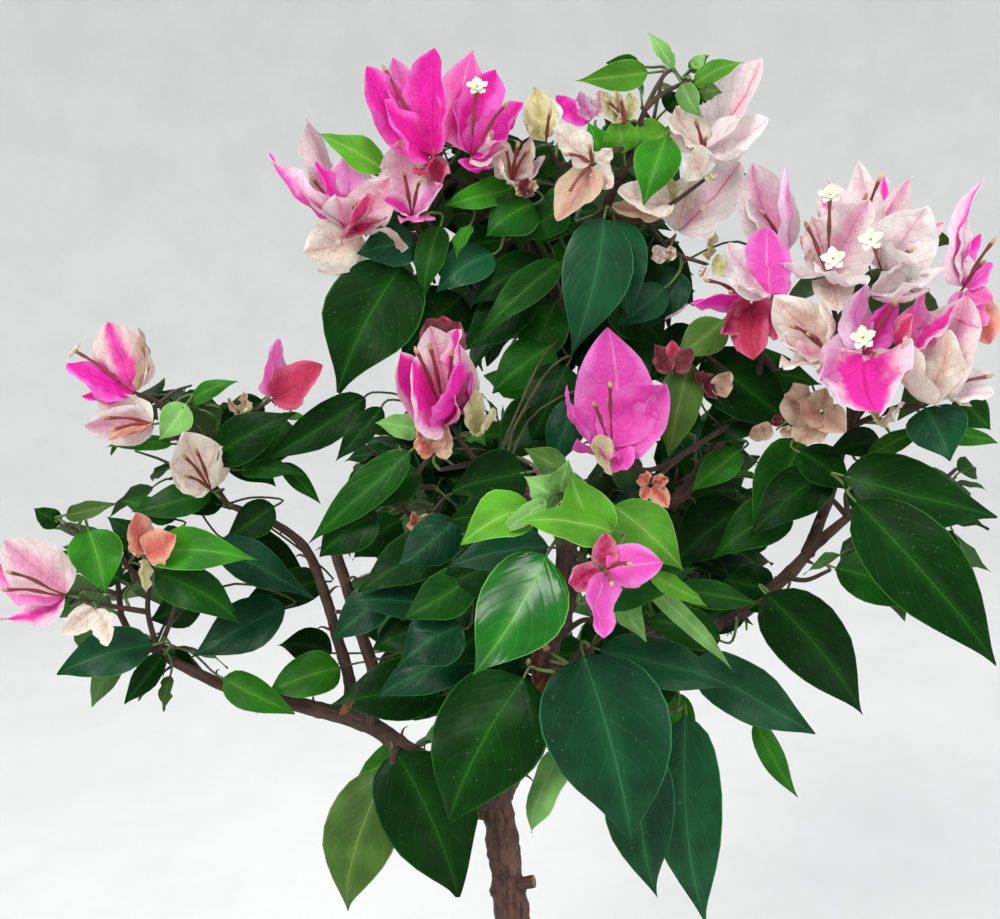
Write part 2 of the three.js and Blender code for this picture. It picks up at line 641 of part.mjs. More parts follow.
function makeSoil() {
  const { foot, waist, height, wall, floor, rimHeight, bore, step } = POT;
  const shoulder = height - rimHeight - step;
  const top = THREE.MathUtils.mapLinear(SOIL_LEVEL, shoulder, height, waist - wall, bore);
  return turned([
    [0, floor + GAP], [foot - wall - 2 * GAP, floor + GAP], [waist - wall - 2 * GAP, shoulder],
    [top - 2 * GAP, SOIL_LEVEL], [0, SOIL_LEVEL],
  ]);
}

// The whole plant

const bush = new THREE.Group();

function place(name, solid, [colour, roughness]) {
  const { vertProperties, triVerts, numProp } = solid.getMesh();
  const positions = [];
  for (let i = 0; i < vertProperties.length; i += numProp) {
    positions.push(...vertProperties.subarray(i, i + 3));
  }
  const geometry = new THREE.BufferGeometry()
    .setAttribute("position", new THREE.Float32BufferAttribute(positions, 3))
    .setIndex([...triVerts]);
  const finish = new THREE.MeshStandardMaterial({ color: colour, roughness, metalness: 0 });
  const mesh = new THREE.Mesh(geometry, finish);
  mesh.name = name;
  bush.add(mesh);
}

place("pot", makePot(), COLOURS.clay);
place("soil", makeSoil(), COLOURS.soil);

const wood = { trunk: makeTrunk() };
take(wood.trunk, "trunk");
for (const name of Object.keys(LIMBS)) {
  const parent = LIMBS[name][0];
  let solid = makeBough(name).subtract(parent === "trunk" ? makeTrunk(GAP) : makeBough(parent, GAP));
  const siblings = Object.keys(wood).filter((other) => LIMBS[other]?.[0] === parent);
  for (const other of siblings) {
    if (!isClear(solid, name)) solid = solid.subtract(makeBough(other, GAP));
  }
  wood[name] = wholeBody(solid);
  take(wood[name], name);
}
for (const [name, solid] of Object.entries(wood)) place(name, solid, COLOURS.bark);

const masses = Object.keys(MASSES).map((name) => new Mass(name));
for (const mass of masses) mass.grow();
for (const mass of masses) mass.namedBlooms();
for (const mass of masses) mass.namedLeaves();
for (const mass of masses) mass.fill();
for (const mass of masses) place(mass.name, mass.solid(), COLOURS.foliage);

export default bush;
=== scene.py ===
import math

import bpy
import numpy as np
from mathutils import Matrix, Vector, noise


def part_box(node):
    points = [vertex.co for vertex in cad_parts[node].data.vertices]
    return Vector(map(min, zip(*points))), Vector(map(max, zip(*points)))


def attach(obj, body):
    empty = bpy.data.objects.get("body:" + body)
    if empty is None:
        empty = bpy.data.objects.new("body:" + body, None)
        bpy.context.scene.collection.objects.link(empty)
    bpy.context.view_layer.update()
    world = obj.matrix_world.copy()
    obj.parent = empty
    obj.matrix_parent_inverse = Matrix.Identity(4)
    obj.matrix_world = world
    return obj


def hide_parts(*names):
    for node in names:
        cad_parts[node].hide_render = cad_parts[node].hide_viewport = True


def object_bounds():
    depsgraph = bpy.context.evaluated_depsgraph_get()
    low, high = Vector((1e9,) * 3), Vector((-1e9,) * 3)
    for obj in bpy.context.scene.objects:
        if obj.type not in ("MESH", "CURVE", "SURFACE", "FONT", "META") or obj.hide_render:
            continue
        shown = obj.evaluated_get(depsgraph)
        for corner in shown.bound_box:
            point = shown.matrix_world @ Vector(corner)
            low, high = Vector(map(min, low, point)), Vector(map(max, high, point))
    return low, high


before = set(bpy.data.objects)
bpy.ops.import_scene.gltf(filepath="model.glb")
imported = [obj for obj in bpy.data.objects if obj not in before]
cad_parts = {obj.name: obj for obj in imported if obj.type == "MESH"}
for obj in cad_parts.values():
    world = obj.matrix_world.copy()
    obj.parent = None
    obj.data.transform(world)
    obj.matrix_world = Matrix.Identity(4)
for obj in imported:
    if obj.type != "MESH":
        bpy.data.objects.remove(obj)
cad_low, cad_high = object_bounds()

MM = 0.001
BOX = (np.array(cad_low) / MM, np.array(cad_high) / MM)
BOX_MARGIN = 5.0  # how far a leaf's tip may stand past the solids

# The viewer in front of the bush. A place is given as it looks from there: u right, v down, and its depth y.
VIEWER = {"eye": (5.0, -450.0, 600.0), "pitch": 10.7, "roll": 3.9, "focal": 1000.0, "u": 500.0, "v": 459.5}
IMAGE_WIDTH = 1000.0
SENSOR = 36.0
FACE_LIGHT = 0.35  # how far a face held towards the viewer turns up to the light

POT = {
    "height": 170.0, "foot": 66.0, "waist": 91.0, "rim": 100.0, "bore": 92.0, "wall": 6.0, "floor": 10.0,
    "rim_height": 24.0, "step": 4.0, "lip": 2.0, "segments": 144, "corner": 2.5, "steps": 5,
}
SOIL_LEVEL = 150.0
SOIL = {"inset": 0.4, "rings": 46, "sides": 120, "sink": 0.6, "rough": 2.6, "crumbs": 900, "grit": 0.06}
FLOOR = {"reach": 1800.0, "bend": 1400.0, "top": 1900.0, "segments": 96}
SEEDS = {"leaves": 11, "bracts": 5, "soil": 3}
TRUNK = {
    "foot": 9.6, "fork": 7.2, "flare": 6.5, "flare_height": 11.0, "rings": 110, "sides": 72, "ridge": 0.055,
    "swells": [[0.45, 0.19, 0], [0.3, 0.47, 1]],
    "low": [[0, 0, SOIL_LEVEL - 3.0], [1.5, 1, 205], [-2.5, 0.5, 255]],
    "high": [[510, 895, 0], [503, 845, 0], [496, 792, 0]],
}
BOUGH = {"rings": 14, "sides": 28, "ridge": 0.05, "flare": 0.28, "flare_rings": 6}
THORN = {"first": 9, "every": 11, "last": 6, "length": 5, "radius": 0.95}
STUB_SIDES = 20

# The rule that grows a mass: the source's numbers, with this scene's own for stalks and finer twigs
GAP = 0.3  # between solids that meet
STEM = {"radius": 1.8, "straight": 12.0, "depth": 0.65, "rings": 7}
TWIG = {"foot": 1.5, "tip": 0.75, "past": 2.0, "swing": 0.16, "bend": 0.45}
TWIG_CLEAR = (1.0, 4.0)  # half width and margin by which a twig stays behind what is in view by name
JOINTS = [0.25, 0.48, 0.72, 0.95]
SHOOT = {"near": 0.46, "far": 0.62}
LEAF = {"length": 52.0, "shrink": 0.3, "ratio": 0.56}
STALK = {"plain": 9.0, "longest": 22.0, "back": 0.22, "arch": 0.05, "sag": 0.12, "rings": 11}
GOLDEN = 3 - math.sqrt(5)  # the golden angle, in half turns
SPINE = np.array([0.0, 0.3, 0.6, 0.95])[:, None]  # where along a leaf it is tested
LEAF_SET = {
    "at_tip": 2, "turn": 137.5, "open": 62.0, "second": 0.8, "second_open": 31.0, "hang": 0.3,
    "droop": 0.12, "outward": 0.9, "shares": (1.0, 0.85, 0.7, 0.55),
}
BRACT = {
    "ratio": 0.66, "least": 0.62, "inward": 0.7, "spread": 20.0, "rise": 27.0, "lift": 0.4, "count": 3,
    "facing": 0.15, "tube_rise": 17, "tube_spread": 5,
}
FINE = {
    "shares": (0.3, 0.62, 0.95), "length": 26.0, "least": 0.7, "vary": 0.6, "past": 1.4, "arch": 1.5,
    "open": 55.0, "leaf": 0.8, "foot": 0.95, "tip": 0.5,
}


def table(text):
    """Reads rows of places: a name, then a line for each group under it, its rows parted by commas."""
    made = {}
    for part in text.replace("\n    ", " ").strip().split("\n\n"):
        name, *groups = part.split("\n")
        made[name] = [[[word if word[0].isalpha() else float(word) for word in row.split()]
            for row in group.split(",")] for group in groups]
    return made


# Limbs: the limb that carries each and its radius at both ends, then the places it runs through
LIMBS = table("""
bough_left
trunk 6 2.4, 490 800 0, 445 772 2, 405 750 4, 368 724 5, 300 705 5, 240 692 0, 180 665 -5, 158 652 -6

bough_left_inner
bough_left 3.3 2, 371 725 5, 375 680 0, 360 630 -5, 345 580 -8, 335 542 -8, 352 516 -8, 392 498 -8

bough_left_outer
bough_left 3.3 1.9, 345 718 5, 350 685 12, 338 640 14, 325 595 14, 305 548 12, 270 521 10, 228 505 8

bough_left_low
bough_left 2.4 1.7, 432 766 3, 420 762 -8, 408 757 -16

leader_front
trunk 7 4.8, 495 792 0, 520 750 -22, 546 705 -42, 545 652 -50, 560 618 -48, 573 590 -42

leader_middle
leader_front 4.8 3.5, 558 622 -48, 566 560 -25, 558 490 -5, 546 420 8, 543 352 15

leader_top
leader_middle 3.4 2.2, 544 362 14, 562 300 14, 588 245 8, 604 210 4, 622 174 0

bough_top_left
leader_middle 2.8 1.8, 544 360 14, 505 312 14, 460 268 8, 425 246 4

bough_top_mid
leader_top 2.5 1.7, 560 302 14, 540 262 24, 522 232 24, 505 214 20

bough_low_front
leader_front 2.6 1.8, 546 682 -46, 560 678 -60, 574 664 -66

bough_middle
leader_middle 2.8 1.8, 563 530 -15, 535 508 -36, 508 488 -48

bough_inner
leader_middle 2.6 1.8, 566 575 -28, 592 572 -8, 620 566 4, 640 556 8

bough_right_low
leader_front 4.6 2.6, 547 692 -42, 592 655 -28, 650 632 -14, 722 624 0, 785 577 -5, 815 545 -12, 848 517 -18

bough_right_hang
bough_right_low 2.2 1.6, 700 628 -4, 706 650 -12, 714 672 -16

bough_right_rise
bough_right_low 2.6 2, 808 553 -10, 828 500 -22, 838 462 -28, 850 428 -30

bough_right_high
leader_middle 3.8 2.3, 562 520 -13, 620 522 0, 675 500 5, 702 468 5, 732 424 0, 756 392 -6

bough_back_left
trunk 4.6 2.8, 494 812 0, 470 765 34, 446 690 58, 432 610 76

bough_back_right
trunk 4.6 2.8, 496 806 0, 530 755 36, 600 680 60, 650 610 78

bough_back_high
leader_middle 3.6 2.4, 556 470 0, 560 430 40, 566 385 60, 563 345 72
""")

# Cut ends of old boughs: place, direction, length and radius
STUBS = [
    [[488, 814, 0], [-0.86, -0.25, 0.42], 7.0, 3.4], [[519, 884, -3], [0.9, -0.2, 0.25], 8.0, 3.0],
    [[541, 664, -50], [-0.8, -0.5, 0.4], 7.0, 1.5], [[556, 634, -52], [0.7, -0.6, 0.3], 7.5, 1.3],
    [[550, 648, -54], [-0.3, -0.9, 0.4], 6.0, 1.6], [[566, 604, -48], [-0.6, -0.7, 0.5], 6.5, 1.3],
    [[543, 692, -44], [0.5, -0.8, 0.2], 6.5, 1.5], [[344, 612, 12], [-0.7, -0.6, 0.3], 5.0, 1.0],
]

# Masses: the limb that carries each, the middle of its space, its half-sizes in mm, and its shoots
MASSES = {
    "left_low": ["bough_left", [112, 600, -8], [78, 58, 58], 7],
    "left_high": ["bough_left_outer", [200, 450, 6], [66, 52, 50], 7],
    "left_inner": ["bough_left_inner", [385, 520, -10], [52, 50, 70], 6],
    "left_hang": ["bough_left_low", [392, 815, -22], [42, 34, 50], 2],
    "top_left": ["bough_top_left", [378, 240, 0], [52, 50, 62], 6],
    "top_mid": ["bough_top_mid", [480, 195, 18], [54, 54, 56], 6],
    "top_right": ["leader_top", [655, 160, -4], [60, 54, 54], 7],
    "front_high": ["bough_middle", [500, 450, -62], [58, 40, 60], 6],
    "inner": ["bough_inner", [668, 520, 22], [54, 38, 60], 5],
    "front_mid": ["leader_front", [560, 540, -96], [66, 40, 50], 4],
    "front_low": ["bough_low_front", [585, 770, -76], [76, 34, 74], 3],
    "right_head": ["bough_right_high", [735, 330, -12], [56, 46, 60], 5],
    "right_crown": ["bough_right_rise", [880, 320, -40], [62, 52, 60], 5],
    "right_low": ["bough_right_low", [890, 530, -50], [64, 56, 52], 4],
    "right_hang": ["bough_right_hang", [765, 668, -24], [56, 44, 46], 4],
    "back_left": ["bough_back_left", [448, 515, 94], [62, 64, 84], 10],
    "back_right": ["bough_back_right", [668, 520, 96], [70, 64, 80], 10],
    "back_top": ["bough_back_high", [565, 280, 84], [78, 60, 66], 9],
}
BACK = ["back_left", "back_right", "back_top"]
BACK_BLOOM_EVERY = 2  # shoots to each bloom behind
BACK_LEAF = 1.25  # how much larger the leaves behind are
BACK_HOLLOW = {"scale": 0.03, "depth": 0.45}  # hollows in the outline of the masses behind
BACK_TINTS = ["orchid", "shell", "hot", "flush", "cream"]
MORE_SHOOTS = {
    "inner": 9, "front_high": 5, "left_inner": 4, "top_mid": 4, "top_left": 2, "right_head": 5,
    "right_low": 3, "back_left": 6, "back_right": 6, "back_top": 6,
}

# Leaves in view, by mass and kind: the places of foot and tip, width, and a turn about its own length
LEAVES = table("""
left_low
bright, 88 530 -34 105 594 -44 22, 146 552 -26 258 560 -34 20, 224 678 -15 295 713 -22 17,
    70 606 -14 28 612 -16 9
mid, 156 574 -20 243 624 -30 21, 120 580 -10 84 560 -12 14, 176 520 0 120 500 4 12
tealdark, 285 606 -2 190 658 -16 26, 216 540 -6 314 598 -12 20
teal, 152 645 -20 56 674 -30 22
olive, 66 515 -30 118 502 -34 9, 170 676 -12 163 712 -14 9 40
dark, 60 524 -24 34 508 -26 10, 163 655 -14 124 704 -18 12, 152 548 -8 106 516 -6 14,
    200 600 10 150 620 6 20

left_high
dark, 212 458 -6 296 412 -10 22, 224 538 26 312 592 22 24, 322 580 16 240 605 8 20, 228 452 8 276 486 6 18,
    262 400 8 214 436 4 17, 222 505 4 150 500 6 16, 274 506 8 226 540 4 18
mid, 212 492 0 130 512 -6 17, 282 463 4 321 503 0 9, 240 470 -4 304 474 -8 10, 286 420 10 262 470 6 18
bright, 190 402 -4 238 381 -8 9, 172 444 -4 102 446 -8 8
pale, 186 404 -8 158 440 -14 15

left_inner
dark, 365 398 0 264 460 -8 19, 454 539 -24 358 592 -36 24, 332 652 18 277 644 16 20,
    382 408 -6 334 461 -10 12, 440 682 -26 330 703 -38 28, 430 624 -20 370 650 -26 20,
    400 520 6 352 560 2 22, 376 512 -18 318 556 -24 23, 452 560 -20 400 610 -26 24
mid, 410 452 -20 306 544 -28 18, 418 470 -10 366 508 -14 18
tealdark, 440 606 -30 345 600 -36 16, 478 654 -44 376 696 -52 22, 384 590 -20 330 640 -26 20
bright, 340 668 4 266 694 -6 22
dry, 352 704 -38 338 716 -40 4

left_hang
dark, 396 752 -24 460 900 -36 44
olive, 386 770 -14 343 915 -26 36 14

top_left
dark, 402 266 -6 336 392 -16 42, 462 296 10 400 360 4 30, 410 282 6 350 300 0 22
young, 384 170 -6 318 133 -8 15 10
teal, 416 244 -6 357 254 -14 20
mid, 440 226 -6 424 297 -14 14

top_mid
teal, 492 254 0 436 292 -8 19
mid, 560 262 -6 477 337 -14 16, 534 204 -6 486 236 -12 22, 516 182 8 487 176 8 11, 566 205 0 518 243 -4 18,
    556 300 2 520 376 -4 22
bright, 515 188 0 443 206 -6 14, 480 194 -2 443 206 -6 9, 470 225 -4 456 257 -8 9 30
dark, 545 262 2 470 304 -4 20, 530 290 4 466 350 0 24, 500 240 8 440 250 4 18

top_right
teal, 604 218 -16 570 356 -30 30, 614 220 -8 630 318 -14 25, 664 288 -4 616 326 -10 16
pale, 674 68 0 649 31 0 8 30, 692 68 0 706 54 -2 6, 682 84 -4 702 118 -10 10 30
young, 648 73 -2 577 81 -6 13 -25, 694 84 -2 744 62 -6 10, 668 132 -2 634 160 -6 20,
    624 153 -6 618 112 -8 15
bright, 666 138 -8 643 206 -16 20, 600 160 -4 588 122 -8 14
dark, 666 110 2 684 92 0 12, 640 240 12 696 306 8 24, 620 290 8 664 345 0 26
olive, 690 72 2 709 55 0 7, 700 92 -6 722 92 -10 8
mid, 556 146 4 526 182 0 15, 575 222 2 521 243 -4 12, 640 66 4 606 62 4 8, 690 100 6 716 78 4 12

front_high
dark, 526 472 -66 452 490 -74 24, 552 400 -10 496 462 -16 26, 566 366 -14 530 442 -18 27,
    530 556 -56 430 592 -62 26, 500 620 -50 440 666 -56 24, 516 520 -52 446 520 -58 22
mid, 474 575 -60 400 620 -70 20, 552 345 -4 492 392 -10 22
tealdark, 462 626 -64 396 668 -72 24, 577 400 -30 550 470 -34 17, 455 520 -40 398 566 -50 22
pale, 420 430 -44 376 422 -48 11
teal, 548 546 -76 446 566 -84 19

front_mid
wet, 546 556 -104 472 675 -118 33
young, 532 508 -98 461 544 -110 19, 600 540 -100 570 471 -106 21, 614 506 -86 684 570 -98 23,
    612 532 -106 518 520 -114 17 20, 650 574 -88 710 606 -92 8
pale, 558 502 -98 524 476 -102 13, 546 500 -104 494 536 -108 7, 561 502 -96 569 461 -102 13,
    612 590 -84 646 642 -88 13 35
mid, 590 600 -90 700 566 -80 18
tealdark, 552 606 -34 500 676 -40 26
dark, 592 616 -52 640 690 -60 22
olive, 566 470 -84 526 448 -88 12

front_low
dark, 524 678 -70 446 823 -84 47, 660 660 -50 640 720 -56 22
tealdark, 584 656 -84 632 842 -98 50, 640 742 -66 658 902 -74 30
teal, 686 716 -56 706 926 -62 31, 600 650 -62 738 686 -68 22
pale, 562 750 -62 526 832 -66 20 40, 640 578 -84 738 672 -78 8
mid, 676 590 -70 762 604 -68 12
bright, 674 692 -40 690 746 -44 12, 560 750 -50 600 700 -50 16
dry, 548 668 -52 562 716 -58 12 30, 540 650 -54 536 690 -60 9 -40

right_head
dark, 702 358 -8 798 430 -16 30, 700 330 10 650 380 4 24, 764 396 4 696 444 0 26, 806 400 6 740 420 0 22
olive, 690 362 -14 668 462 -22 19, 724 320 -10 674 360 -16 18
mid, 722 362 0 822 384 -6 22, 800 440 -10 752 537 -20 26, 690 400 4 660 440 0 20
bright, 740 450 0 690 492 -4 16
tealdark, 680 270 4 640 330 -2 20

right_crown
teal, 925 408 -50 950 461 -58 24
mid, 955 398 -52 992 430 -56 15
bright, 868 456 -36 936 424 -44 9, 940 432 -40 1000 442 -44 9
dark, 800 452 -30 850 490 -36 18, 880 440 -30 826 452 -36 14

right_low
dark, 856 502 -66 1000 666 -92 33, 844 476 -54 1000 514 -76 33, 830 470 -24 749 537 -32 24,
    775 590 -2 726 578 -8 24, 742 505 8 672 564 2 30, 800 470 8 760 510 0 24
mid, 836 568 -30 940 604 -42 23, 790 508 -14 714 556 -22 22

right_hang
dark, 766 594 -24 865 716 -38 34, 742 600 6 690 640 0 22
teal, 694 662 -26 816 734 -36 26
bright, 756 721 -10 798 798 -14 12
mid, 720 640 -18 640 620 -14 20
""")

# Blooms in view, by mass: the place where the bracts join, then each bract's tip with its tint and the ratio
# of its width to its length, and the ends of the flower tubes, with star where one is open
BLOOMS = table("""
left_low
68 596 -30, 4 540 -40 shell .7, -8 566 -36 pink .6, 0 618 -46 flush .6, 20 540 -26 rosy .6, 8 572 -52,
    4 590 -52
144 556 -32, 136 512 -38 coral .6, 175 534 -40 coral .75, 128 548 -36 coral .6, 146 592 -38 lemon .5,
    172 560 -30 rosy .6
96 606 -34, 62 634 -40 cream .6, 108 646 -42 cream .62, 74 616 -30 tan .5

left_high
136 394 -8, 108 322 -16 streak .72, 67 364 -18 orchid .7, 139 328 -2 tan .22, 130 330 -4 cream .5,
    82 396 -12 orchid .6, 77 352 -14 star
156 424 -12, 84 426 -22 shell .6, 96 400 -16 cream .6, 128 442 -8 cream .6, 108 440 -24 coral .45,
    106 418 -30, 112 430 -30
213 491 -8, 184 432 -16 cream .86, 170 462 -20 cream .62, 221 446 -12 cream .4, 176 448 -6 shell .6,
    184 456 -28, 196 450 -28, 186 476 -28
270 399 -2, 279 339 -8 pink .5, 321 364 -12 rose .62, 284 408 4 coral .4
240 416 0, 228 398 -4 tan .5, 244 392 -2 tan .5, 252 406 -4 lemon .5

top_left
348 232 -8, 306 119 -6 ash .2, 269 154 -14 flush .16, 316 162 -24 orchid .26, 346 154 -4 lilac .8,
    390 176 -12 shell .7, 384 218 -28 rosy .6, 294 184 -20 shell .26, 336 196 -36 shell .6,
    366 196 -38 rosy .62, 312 178 -30, 340 200 -30, 356 204 -32, 364 206 -30
366 236 -8, 304 252 -22 cream .84, 318 272 -10 cream .6, 408 248 -14 cream .6
412 216 -2, 400 140 -10 shell .72, 442 184 -14 lilac .6, 384 200 -18 flush .6, 424 220 -26 pink .6,
    404 172 -24, 420 180 -26

top_mid
432 158 0, 434 48 -14 orchid .54, 366 67 -12 orchid .56, 392 58 4 pink .5, 384 100 -24 orchid .5,
    456 80 6 orchid .5, 440 186 -14 rosy .6, 418 176 -18 rose .5, 384 68 -2
470 158 -2, 474 50 -2 pink .56, 522 102 -14 orchid .5, 496 70 2 orchid .5, 486 166 -24 orchid .6,
    508 150 -18 shell .6, 477 88 -22 star, 506 104 -24
512 182 -2, 490 130 -6 cream .6, 530 136 -8 cream .6, 545 156 -10 shell .6, 500 160 -18 cream .6,
    530 190 -16 coral .5, 506 148 -18, 518 144 -18, 528 150 -16
524 198 -14, 536 180 -18 tan .6, 514 182 -18 tan .6, 528 178 -22 dusk .6

top_right
546 142 -8, 534 86 -10 lemon .62, 524 108 -16 lemon .6, 550 96 -4 cream .5, 550 112 -18
592 164 -12, 552 128 -18 cream .7, 612 148 -14 cream .8, 612 188 -20 cream .66, 556 220 -22 peach .66,
    574 138 -10 lemon .5, 566 154 -24, 590 146 -24, 568 194 -28
596 120 10, 556 96 12 orchid .6, 600 90 6 shell .7, 578 92 4 lilac .6
626 124 -8, 602 92 -10 lemon .55, 630 92 -8 lemon .55, 616 90 -14 tan .5, 606 100 -16, 620 98 -16
704 152 -4, 762 58 -10 vein .5, 769 118 -20 white .82, 676 106 -6 cream .7, 664 116 -8 cream .5,
    744 152 -26 white .7, 696 122 -16, 706 138 -22
676 234 0, 740 162 -8 vein .68, 694 172 6 cream .7, 668 256 -4
676 204 -8, 618 190 -16 cream .62, 612 206 -8 peach .6, 668 178 -4 lemon .6
704 178 -20, 694 148 -28 cream 1.1, 716 176 -26 lemon .5
708 264 -6, 715 232 -8 lemon .3, 738 268 -10 lemon .8, 700 278 -8 cream .6
668 262 -2, 654 246 -6 cream .7, 672 246 -6 cream .7

front_high
448 424 -70, 400 352 -84 rimmed .6, 430 326 -72 shell .6, 457 329 -84 rimmed .42, 472 372 -78 orchid .5,
    414 362 -98 rimmed .7, 460 366 -98 orchid .56, 416 350 -92, 430 346 -92, 452 352 -94
446 352 -56, 426 320 -62 dusk .9, 458 322 -62 dusk .9, 442 316 -58 rose .8
434 456 -70, 417 424 -76 coral .8, 447 424 -78 peach .8, 432 420 -72 tan .7
478 438 -72, 474 388 -78 lemon .4, 494 408 -80 lemon .3, 466 402 -72 tan .4
420 534 -30, 412 512 -36 coral .6, 428 514 -36 coral .6

right_head
612 450 -40, 608 327 -48 hot .66, 664 384 -62 hot .66, 566 386 -58 hot .42, 628 470 -60 hot .7,
    578 440 -62 hot .5, 610 384 -72, 594 404 -74
612 462 -54, 590 446 -66 lemon .9
650 484 -44, 668 508 -52 coral .6, 668 478 -50 coral .6, 642 500 -50 coral .6, 640 476 -52 coral .6
672 374 -22, 654 344 -26 dusk .7, 692 348 -24 dusk .7, 672 340 -18 rose .6
788 254 -16, 752 163 -26 shell .6, 786 168 -26 lilac .3, 746 196 -20 white .5, 772 194 -10 pink .4,
    762 212 -38
771 298 -44, 728 243 -44 white .6, 735 284 -50 white .5, 767 227 -62 hot .64, 744 258 -38 shell .6
752 300 -26, 690 303 -38 orchid .5, 754 360 -42 rose .56, 722 334 -34 rosy .6, 738 352 -32 rosy .6,
    776 340 -46 rosy .5, 706 280 -44, 730 292 -46
716 398 -14, 694 374 -20 dusk .7, 730 372 -20 tan .7

front_mid
604 570 -112, 662 562 -126 hot .66, 606 532 -116 rosy .6, 569 584 -122 rosy .6, 605 638 -128 hot .42,
    630 564 -136, 612 584 -134
566 524 -98, 560 502 -104 lemon .6, 576 506 -104 tan .6

right_crown
850 262 -30, 858 161 -38 white .56, 884 176 -30 flush .4, 822 196 -26 shell .5, 828 180 -20 shell .5,
    880 178 -50, 866 196 -54
828 276 -44, 868 200 -60 shell .84, 812 216 -50 vein .6, 786 262 -62 white .5, 800 236 -40 peach .4,
    838 310 -66 cream .6, 852 284 -78 white .4, 833 259 -78 star, 830 196 -62 star, 806 224 -60
882 272 -42, 927 206 -60 white .88, 912 176 -40 shell .46, 943 222 -44 shell .5, 946 272 -60 white .32,
    918 264 -72 white .34, 926 292 -54 white .34, 871 240 -78 star, 912 250 -66
868 298 -58, 946 270 -70 white .3, 914 262 -66 white .46, 930 290 -62 shell .4
826 350 -52, 774 297 -62 cream .54, 819 300 -68 cream .3, 784 340 -68 shell .6, 783 366 -70 cream .6,
    800 300 -48 shell .5, 792 326 -74, 808 334 -74
864 354 -56, 866 283 -66 lilac .5, 897 301 -56 orchid .45, 820 381 -78 lilac .7, 878 412 -90 rimmed .9,
    910 371 -72 flush .6, 863 338 -90 star, 896 302 -80, 876 356 -84
898 350 -54, 956 305 -62 flush .5, 924 292 -58 pink .5, 940 330 -56 pink .6, 912 316 -70 rosy .5
922 404 -54, 948 330 -66 cream .62, 908 336 -74 cream .56, 968 296 -52 shell .6, 966 352 -62 cream .6
942 392 -56, 995 392 -66 white .4, 994 376 -58 white .44, 972 406 -64 cream .4, 990 376 -66
962 290 -40, 982 178 -50 flush .38, 966 220 -42 white .3, 992 262 -46 hot .5, 993 300 -52 pink .66,
    990 344 -52 coral .66, 980 328 -60 pink .6, 980 234 -36 orchid .3, 994 240 -56, 984 262 -58
822 412 -40, 784 394 -52 tan .7, 796 442 -54 tan .6, 846 432 -58 tan .7, 826 388 -50 tan .7,
    802 416 -58 peach .6
776 430 -28, 749 436 -34 tan .5, 800 436 -32 tan .4, 778 414 -30 dusk .6
880 420 -44, 862 402 -60 lemon .6, 898 404 -60 cream .6
""")

# Stems that carry the leaves and blooms in view, each from its limb's tip or another stem on
STEMS = table("""
left_low
158 652 -6, 148 612 -14, 150 576 -20, 146 558 -28
148 612 -14, 112 606 -22, 80 598 -27
150 590 -18, 112 552 -20, 66 524 -28
158 652 -6, 170 622 -16, 178 592 -26

left_high
228 505 8, 196 460 -2, 166 426 -9
196 460 -2, 164 408 -5, 134 392 -8
210 476 4, 240 424 0, 270 400 -2
228 505 8, 220 498 -6

left_inner
392 498 -8, 420 470 -12, 436 440 -10
392 498 -8, 430 540 -14, 450 600 -22

top_left
425 246 4, 384 232 -4, 346 226 -8
425 246 4, 416 222 -2

top_mid
505 214 20, 470 190 12, 434 160 1
474 192 12, 470 162 -1
505 214 20, 514 186 0

top_right
622 174 0, 632 146 -3, 644 112 -4, 662 78 -2, 671 70 0
632 146 -3, 612 152 -8, 596 162 -11
640 124 -3, 670 140 8, 703 154 -1
622 174 0, 606 206 -2, 632 222 -6, 668 206 -8, 704 180 -16
644 110 -4, 662 94 -4, 690 80 -2
622 176 2, 650 226 6, 674 252 0, 706 264 -5
632 146 -3, 600 134 4
560 170 4, 548 146 -7

front_high
508 488 -48, 474 458 -62, 452 426 -69
480 462 -60, 440 470 -66

front_mid
573 590 -42, 574 562 -72, 576 520 -96
574 562 -72, 592 570 -98, 603 571 -111
580 524 -92, 616 512 -84
554 642 -52, 584 620 -66, 612 628 -74

front_low
574 664 -66, 600 664 -68, 636 700 -64, 676 710 -56
574 664 -66, 556 672 -72

right_head
756 392 -6, 764 340 -16, 772 292 -20, 780 256 -16
732 424 0, 690 450 -18, 652 482 -40
700 444 -14, 650 470 -34, 614 452 -40
756 392 -6, 720 366 -10, 700 350 -10

right_crown
850 428 -30, 848 380 -44, 836 320 -46, 828 280 -44
850 428 -30, 866 390 -48, 866 356 -55
850 428 -30, 884 370 -46, 886 276 -42
852 426 -32, 896 408 -46, 930 400 -54, 948 340 -46, 960 294 -40
850 430 -30, 824 414 -39
844 336 -46, 848 290 -36, 850 266 -30
876 384 -46, 896 354 -53

right_low
848 517 -18, 846 496 -36, 850 488 -58
848 517 -18, 826 496 -16, 800 500 -12
785 577 -5, 806 580 -18, 830 570 -28

right_hang
714 672 -16, 720 690 -18, 744 712 -12
722 624 0, 750 606 -14, 770 596 -22
""")

